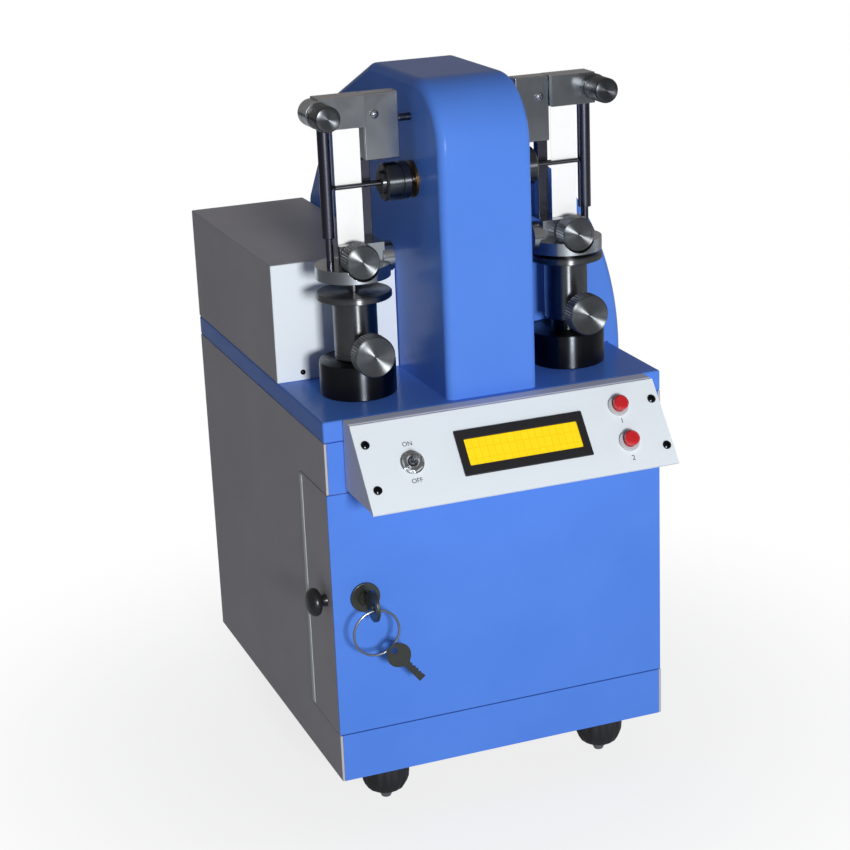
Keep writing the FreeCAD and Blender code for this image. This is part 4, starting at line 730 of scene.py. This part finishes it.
# %% [markdown]
# ## Marks and the switch nut
#
# The switch has ON and OFF printed beside it, and the two buttons are numbered. The marks are text turned
# into a thin mesh that lies on the panel. A hexagon nut with a ring washer clamps the switch.

# %% Marks, nut and washer
ink, tree, output = start_material("black_screen_print")
skin = add_node(tree, "ShaderNodeBsdfPrincipled", Base_Color=linear("#26262B"), Roughness=0.6)
tree.links.new(skin.outputs["BSDF"], output.inputs["Surface"])


def printed(name, words, tall, across, down):
    """A word as a mesh 0.08 mm thick, centred at a place on the panel."""
    curve = bpy.data.curves.new(name + "_curve", "FONT")
    curve.body = words
    curve.size = tall * 1.38
    curve.align_x = "CENTER"
    curve.align_y = "CENTER"
    curve.extrude = 0.04
    holder = bpy.data.objects.new(name + "_curve", curve)
    bpy.context.scene.collection.objects.link(holder)
    bpy.context.view_layer.update()
    mesh = bpy.data.meshes.new_from_object(holder.evaluated_get(bpy.context.evaluated_depsgraph_get()))
    bpy.data.objects.remove(holder)
    points = np.zeros(len(mesh.vertices) * 3)
    mesh.vertices.foreach_get("co", points)
    points = on_panel(points.reshape(-1, 3) + np.array([0, 0, 0.05]), across, down)
    mesh.vertices.foreach_set("co", points.reshape(-1))
    mesh.update()
    mesh.materials.clear()
    piece = bpy.data.objects.new(name, mesh)
    bpy.context.scene.collection.objects.link(piece)
    return finish_piece(piece, ink, "frame")


TOGGLE_AT = (-60.5, PANEL_LONG / 2)
MARK_SHIFT = 10.5
BUTTON_X = 63.5
printed("mark_on", "ON", 2.6, TOGGLE_AT[0], TOGGLE_AT[1] - MARK_SHIFT)
printed("mark_off", "OFF", 2.6, TOGGLE_AT[0], TOGGLE_AT[1] + MARK_SHIFT)
printed("mark_one", "1", 3.0, BUTTON_X, 21.6)
printed("mark_two", "2", 3.0, BUTTON_X, 43.6)

NUT_SIDES = 6
NUT_HALF = 5.2
NUT_HIGH = 2.4
NUT_HOLE = 3.6
WASHER_RADIUS = 6.6
WASHER_THICK = 0.45
t = np.linspace(0, 2 * np.pi, 96, endpoint=False)
hexagon = NUT_HALF / np.cos((t + np.pi / NUT_SIDES) % (2 * np.pi / NUT_SIDES) - np.pi / NUT_SIDES)
round_top = np.minimum(hexagon, NUT_HALF * 1.1)
hole = np.full_like(t, NUT_HOLE)
washer = np.full_like(t, WASHER_RADIUS)
nut_rows = [(hole, 0.0), (washer, 0.0), (washer, WASHER_THICK), (hexagon, WASHER_THICK),
            (hexagon, NUT_HIGH - 0.4), (round_top, NUT_HIGH), (hole, NUT_HIGH), (hole, 0.0)]
nut = np.stack([np.stack([r * np.cos(t), r * np.sin(t), np.full_like(t, h)], -1) for r, h in nut_rows])
switch_nut = add_mesh("switch_nut", on_panel(nut, *TOGGLE_AT), ring_faces(*nut.shape[:2]),
                      ring_uv(*nut.shape[:2]))
finish_piece(switch_nut, FINISH["chrome"], "frame")
print("marks and switch nut")

# %% [markdown]
# ## Screws on the sheets
#
# The control box's front is held by small pan-head screws, and each bracket plate by one larger screw.
# All use the same dome with a cross recess, only turned and scaled, and each set is one mesh.

# %% Screws


def screw_set(name, spots_mm, facing, radius, slot, body="frame"):
    """Heads at places in millimetres, all facing one way, joined in one mesh."""
    shape = screw_grid(radius, radius * 0.38, radius * 0.18, radius * 0.3, columns=40, rows=12)
    turned = shape @ np.array(AXIS_TURN[facing]).T
    grids = (turned[None] + np.array(spots_mm, float)[:, None, None, :]) * MM
    rows, columns = shape.shape[:2]
    many = np.concatenate([ring_faces(rows, columns) + k * rows * columns for k in range(len(spots_mm))])
    piece = finish_piece(add_mesh(name, grids, many), FINISH[slot], body)
    return piece


BOX_FRONT_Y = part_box("control_box_front")[0].y / MM
PLATE_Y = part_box("bracket_plates")[0].y / MM
BOX_SCREW_Z = 242.8
BRACKET_SCREW = (48.0, 390.7)
screw_set("box_front_screws", [(x, BOX_FRONT_Y, BOX_SCREW_Z) for x in (-84.7, -34.0)], "-Y", 1.5,
          "black_metal")
screw_set("bracket_screws", [(side * BRACKET_SCREW[0], PLATE_Y, BRACKET_SCREW[1]) for side in (-1, 1)],
          "-Y", 2.4, "steel")
print("box and bracket screws")

# %% [markdown]
# ## Door edge highlight, knob and keys
#
# A pale folded strip on the rear edge of the door's side flange is a painted highlight of that edge.
# The black knob that pulls the door is a turned mushroom. A second key hangs on the ring.

# %% Door pieces
DOOR_LOW, DOOR_HIGH = (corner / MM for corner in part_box("door_pan"))
# The pale strip is a painted highlight along the flange's rear edge.
EDGE_HIGHLIGHT_DEEP = 4.6
EDGE_HIGHLIGHT_PROUD = 0.35
EDGE_HIGHLIGHT_ROWS = 24
edge_highlight_plan = np.array([
    (DOOR_LOW.x, DOOR_HIGH.y - 1.0), (DOOR_LOW.x, DOOR_HIGH.y + 0.1),
    (DOOR_LOW.x - EDGE_HIGHLIGHT_PROUD * 0.5, DOOR_HIGH.y + 0.05), (DOOR_LOW.x - EDGE_HIGHLIGHT_PROUD, DOOR_HIGH.y - 0.4),
    (DOOR_LOW.x - EDGE_HIGHLIGHT_PROUD, DOOR_HIGH.y - EDGE_HIGHLIGHT_DEEP + 0.5),
    (DOOR_LOW.x - EDGE_HIGHLIGHT_PROUD * 0.7, DOOR_HIGH.y - EDGE_HIGHLIGHT_DEEP), (DOOR_LOW.x, DOOR_HIGH.y - EDGE_HIGHLIGHT_DEEP),
])
edge_highlight_sides = len(edge_highlight_plan)
edge_highlight_levels = np.linspace(DOOR_LOW.z + 1.5, DOOR_HIGH.z - 1.5, EDGE_HIGHLIGHT_ROWS)
edge_highlight_points = np.concatenate([np.repeat(edge_highlight_plan[None], EDGE_HIGHLIGHT_ROWS, 0), np.broadcast_to(
    edge_highlight_levels[:, None, None], (EDGE_HIGHLIGHT_ROWS, edge_highlight_sides, 1))], 2) * MM
edge_highlight_caps = [list(range(edge_highlight_sides))[::-1], [(EDGE_HIGHLIGHT_ROWS - 1) * edge_highlight_sides + i for i in range(edge_highlight_sides)]]
edge_highlight_faces = ring_faces(EDGE_HIGHLIGHT_ROWS, edge_highlight_sides).tolist() + edge_highlight_caps
DOOR_EDGE_HIGHLIGHT = moulded("pale_painted_edge_highlight", "#DDE3E0", "#D2D9D6", 0.35, 1.0, 0.01)
door_edge_highlight = add_mesh("door_edge_painted_highlight", edge_highlight_points, edge_highlight_faces)
finish_piece(door_edge_highlight, DOOR_EDGE_HIGHLIGHT, "door")

KNOB_AT = middle("door_knob")
KNOB_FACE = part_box("door_knob")[1].x
mushroom = [(0.0, 0.0), (3.6, 0.0), (3.5, 0.6), (3.2, 2.0), (3.5, 3.1), (5.4, 3.6), (7.2, 4.6), (7.9, 5.9),
            (7.95, 7.0), (7.5, 8.5), (6.5, 9.7), (4.9, 10.5), (2.6, 10.9), (0.0, 11.0)]
turned_piece("door_knob_turned", mushroom, (KNOB_FACE, KNOB_AT.y, KNOB_AT.z), "-X",
             FINISH["black_plastic"], "door", ["door_knob"], columns=72)

KEY_THICK = 1.0
KEY_COLUMNS = 72
KEY_LONG = 14.0
BOW_HALF = (6.5, 7.5)
EYE_RADIUS = 1.9
EYE_HIGH = 4.2
GRIP_HIGH = 5.3
RING_RADIUS = 13.0
RING_PROUD = 2.5
RING_AT = middle("key_ring") / MM
t = np.linspace(0, 2 * np.pi, KEY_COLUMNS, endpoint=False)
bow_round = np.stack([BOW_HALF[0] * np.cos(t) * (1 + 0.06 * np.cos(2 * t)), BOW_HALF[1] * np.sin(t)], -1)
eye_round = np.stack([EYE_RADIUS * np.cos(t), EYE_RADIUS * np.sin(t) + EYE_HIGH], -1)
bow_rows = [(eye_round, -0.5), (bow_round * 0.97, -0.5), (bow_round, -0.35), (bow_round, 0.35),
            (bow_round * 0.97, 0.5), (eye_round, 0.5), (eye_round, -0.5)]
bow = np.stack([np.concatenate([xy, np.full((KEY_COLUMNS, 1), h * KEY_THICK)], 1) for xy, h in bow_rows])
teeth = np.array([0.0, 0.9, 0.3, 1.3, 0.2, 0.7, 0.0, 1.1, 0.1, 0.5, 0.0, 0.0])
run = np.linspace(0, KEY_LONG, len(teeth))
left_edge = np.stack([np.full_like(run, -2.0), -7.0 - run], -1)
right_edge = np.stack([2.3 - teeth, -7.0 - run], -1)
blade = np.stack([np.stack([np.append(left_edge[i], -0.5), np.append(right_edge[i], -0.5),
                            np.append(right_edge[i], 0.5), np.append(left_edge[i], 0.5)])
                  for i in range(len(run))]) * (1, 1, KEY_THICK * 0.9)
blade_faces = ring_faces(len(run), 4).tolist() + [[3, 2, 1, 0], [44, 45, 46, 47]]
SWING = math.radians(38)
spin = np.array([(math.cos(SWING), -math.sin(SWING)), (math.sin(SWING), math.cos(SWING))])


def hung(points_mm):
    """Key axes (across, along, out) to the ring: its eye sits on the wire, and it swings out to the right."""
    flat = (points_mm[..., :2] - (0, GRIP_HIGH)) @ spin.T
    hang = np.array([RING_AT.x + RING_RADIUS * math.sin(SWING), RING_AT.y - RING_PROUD,
                     RING_AT.z - RING_RADIUS * math.cos(SWING)])
    return (np.stack([flat[..., 0], -points_mm[..., 2], flat[..., 1]], -1) + hang) * MM


key_points = np.concatenate([hung(bow).reshape(-1, 3), hung(blade).reshape(-1, 3)])
key_faces = ring_faces(*bow.shape[:2]).tolist()
key_faces += [[i + len(bow) * KEY_COLUMNS for i in face] for face in blade_faces]
spare = add_mesh("spare_key", key_points, key_faces)
# The spare key takes the same darkened nickel, which is painted shade.
finish_piece(spare, SHADED_NICKEL, "key_ring")
print("trim, knob and spare key")

# %% [markdown]
# ## Light, floor and background
#
# The photograph was lit from the front, near the camera: faces towards it are bright and the hood's side
# is deep blue. One small strong lamp stands beside the camera, and two weak ones, from behind and from the
# right, only fill the far sides and don't show in the metal.
# The floor is pale and keeps a soft shadow, and the camera sees plain white behind it.

# %% Studio


def area_lamp(name, place, size, power, shows):
    """A square lamp that looks at the middle of the object; a fill lamp doesn't show in the metal."""
    data = bpy.data.lights.new(name, "AREA")
    data.size = size
    data.energy = power
    lamp = bpy.data.objects.new(name, data)
    bpy.context.scene.collection.objects.link(lamp)
    lamp.location = place
    lamp.rotation_euler = (Vector(place) - Vector((0, 0, 0.2))).to_track_quat("Z", "Y").to_euler()
    lamp.visible_glossy = shows
    return lamp


area_lamp("front_softbox", (-0.17, -1.65, 0.5), 0.27, 21, True)
area_lamp("back_fill", (0.3, 1.9, 0.55), 0.9, 13, False)
area_lamp("right_fill", (1.9, -0.1, 0.45), 0.8, 8, False)

world = bpy.data.worlds.new("studio")
bpy.context.scene.world = world
world.use_nodes = True
sky = world.node_tree
sky.nodes.clear()
path = add_node(sky, "ShaderNodeLightPath")
seen = add_node(sky, "ShaderNodeMath", {"operation": "MAXIMUM"}, i0=path.outputs["Is Camera Ray"],
                i1=path.outputs["Is Transmission Ray"])
direct = add_node(sky, "ShaderNodeBackground", Color=linear("#FFFFFF"), Strength=1.0)
ambient = add_node(sky, "ShaderNodeBackground", Color=linear("#E9EEF8"), Strength=0.12)
mirror = add_node(sky, "ShaderNodeBackground", Color=linear("#EDE6E2"), Strength=0.34)
soft = add_node(sky, "ShaderNodeMixShader", Fac=path.outputs["Is Glossy Ray"])
sky.links.new(ambient.outputs[0], soft.inputs[1])
sky.links.new(mirror.outputs[0], soft.inputs[2])
chosen = add_node(sky, "ShaderNodeMixShader", Fac=seen.outputs[0])
sky.links.new(soft.outputs[0], chosen.inputs[1])
sky.links.new(direct.outputs[0], chosen.inputs[2])
sky_out = sky.nodes.new("ShaderNodeOutputWorld")
sky.links.new(chosen.outputs[0], sky_out.inputs["Surface"])

floor_material, tree, output = start_material("pale_studio_floor")
path = add_node(tree, "ShaderNodeLightPath")
matt = add_node(tree, "ShaderNodeBsdfDiffuse", Color=linear("#D9DBDE"))
place = add_node(tree, "ShaderNodeTexCoord").outputs["Object"]
away = add_node(tree, "ShaderNodeVectorMath", {"operation": "LENGTH"}, i0=place)
fade = add_node(tree, "ShaderNodeMapRange", {"interpolation_type": "SMOOTHSTEP"}, Value=away.outputs["Value"],
                From_Min=0.1, From_Max=0.4, To_Min=0.8, To_Max=1.0)
share = add_node(tree, "ShaderNodeMath", {"operation": "MULTIPLY"}, i0=path.outputs["Is Camera Ray"],
                 i1=fade.outputs["Result"])
glow = add_node(tree, "ShaderNodeEmission", Color=linear("#FFFFFF"), Strength=1.0)
mixed = add_node(tree, "ShaderNodeMixShader", Fac=share.outputs[0])
tree.links.new(matt.outputs[0], mixed.inputs[1])
tree.links.new(glow.outputs[0], mixed.inputs[2])
tree.links.new(mixed.outputs[0], output.inputs["Surface"])
FLOOR_HALF = 6.0
FLOOR_CELLS = 12
FLOOR_DROP = 0.2 * MM
reach = np.linspace(-FLOOR_HALF, FLOOR_HALF, FLOOR_CELLS + 1)
gx, gy = np.meshgrid(reach, reach, indexing="xy")
floor_points = np.stack([gx, gy, np.full_like(gx, -FLOOR_DROP)], -1)
i, j = np.meshgrid(np.arange(FLOOR_CELLS), np.arange(FLOOR_CELLS), indexing="ij")
start, across = i * (FLOOR_CELLS + 1) + j, FLOOR_CELLS + 1
floor_faces = np.stack([start, start + 1, start + across + 1, start + across], -1)
floor = add_mesh("studio_floor", floor_points, floor_faces.reshape(-1, 4))
floor.data.materials.append(floor_material)
bpy.context.scene.view_settings.view_transform = "Standard"
print("studio ready")
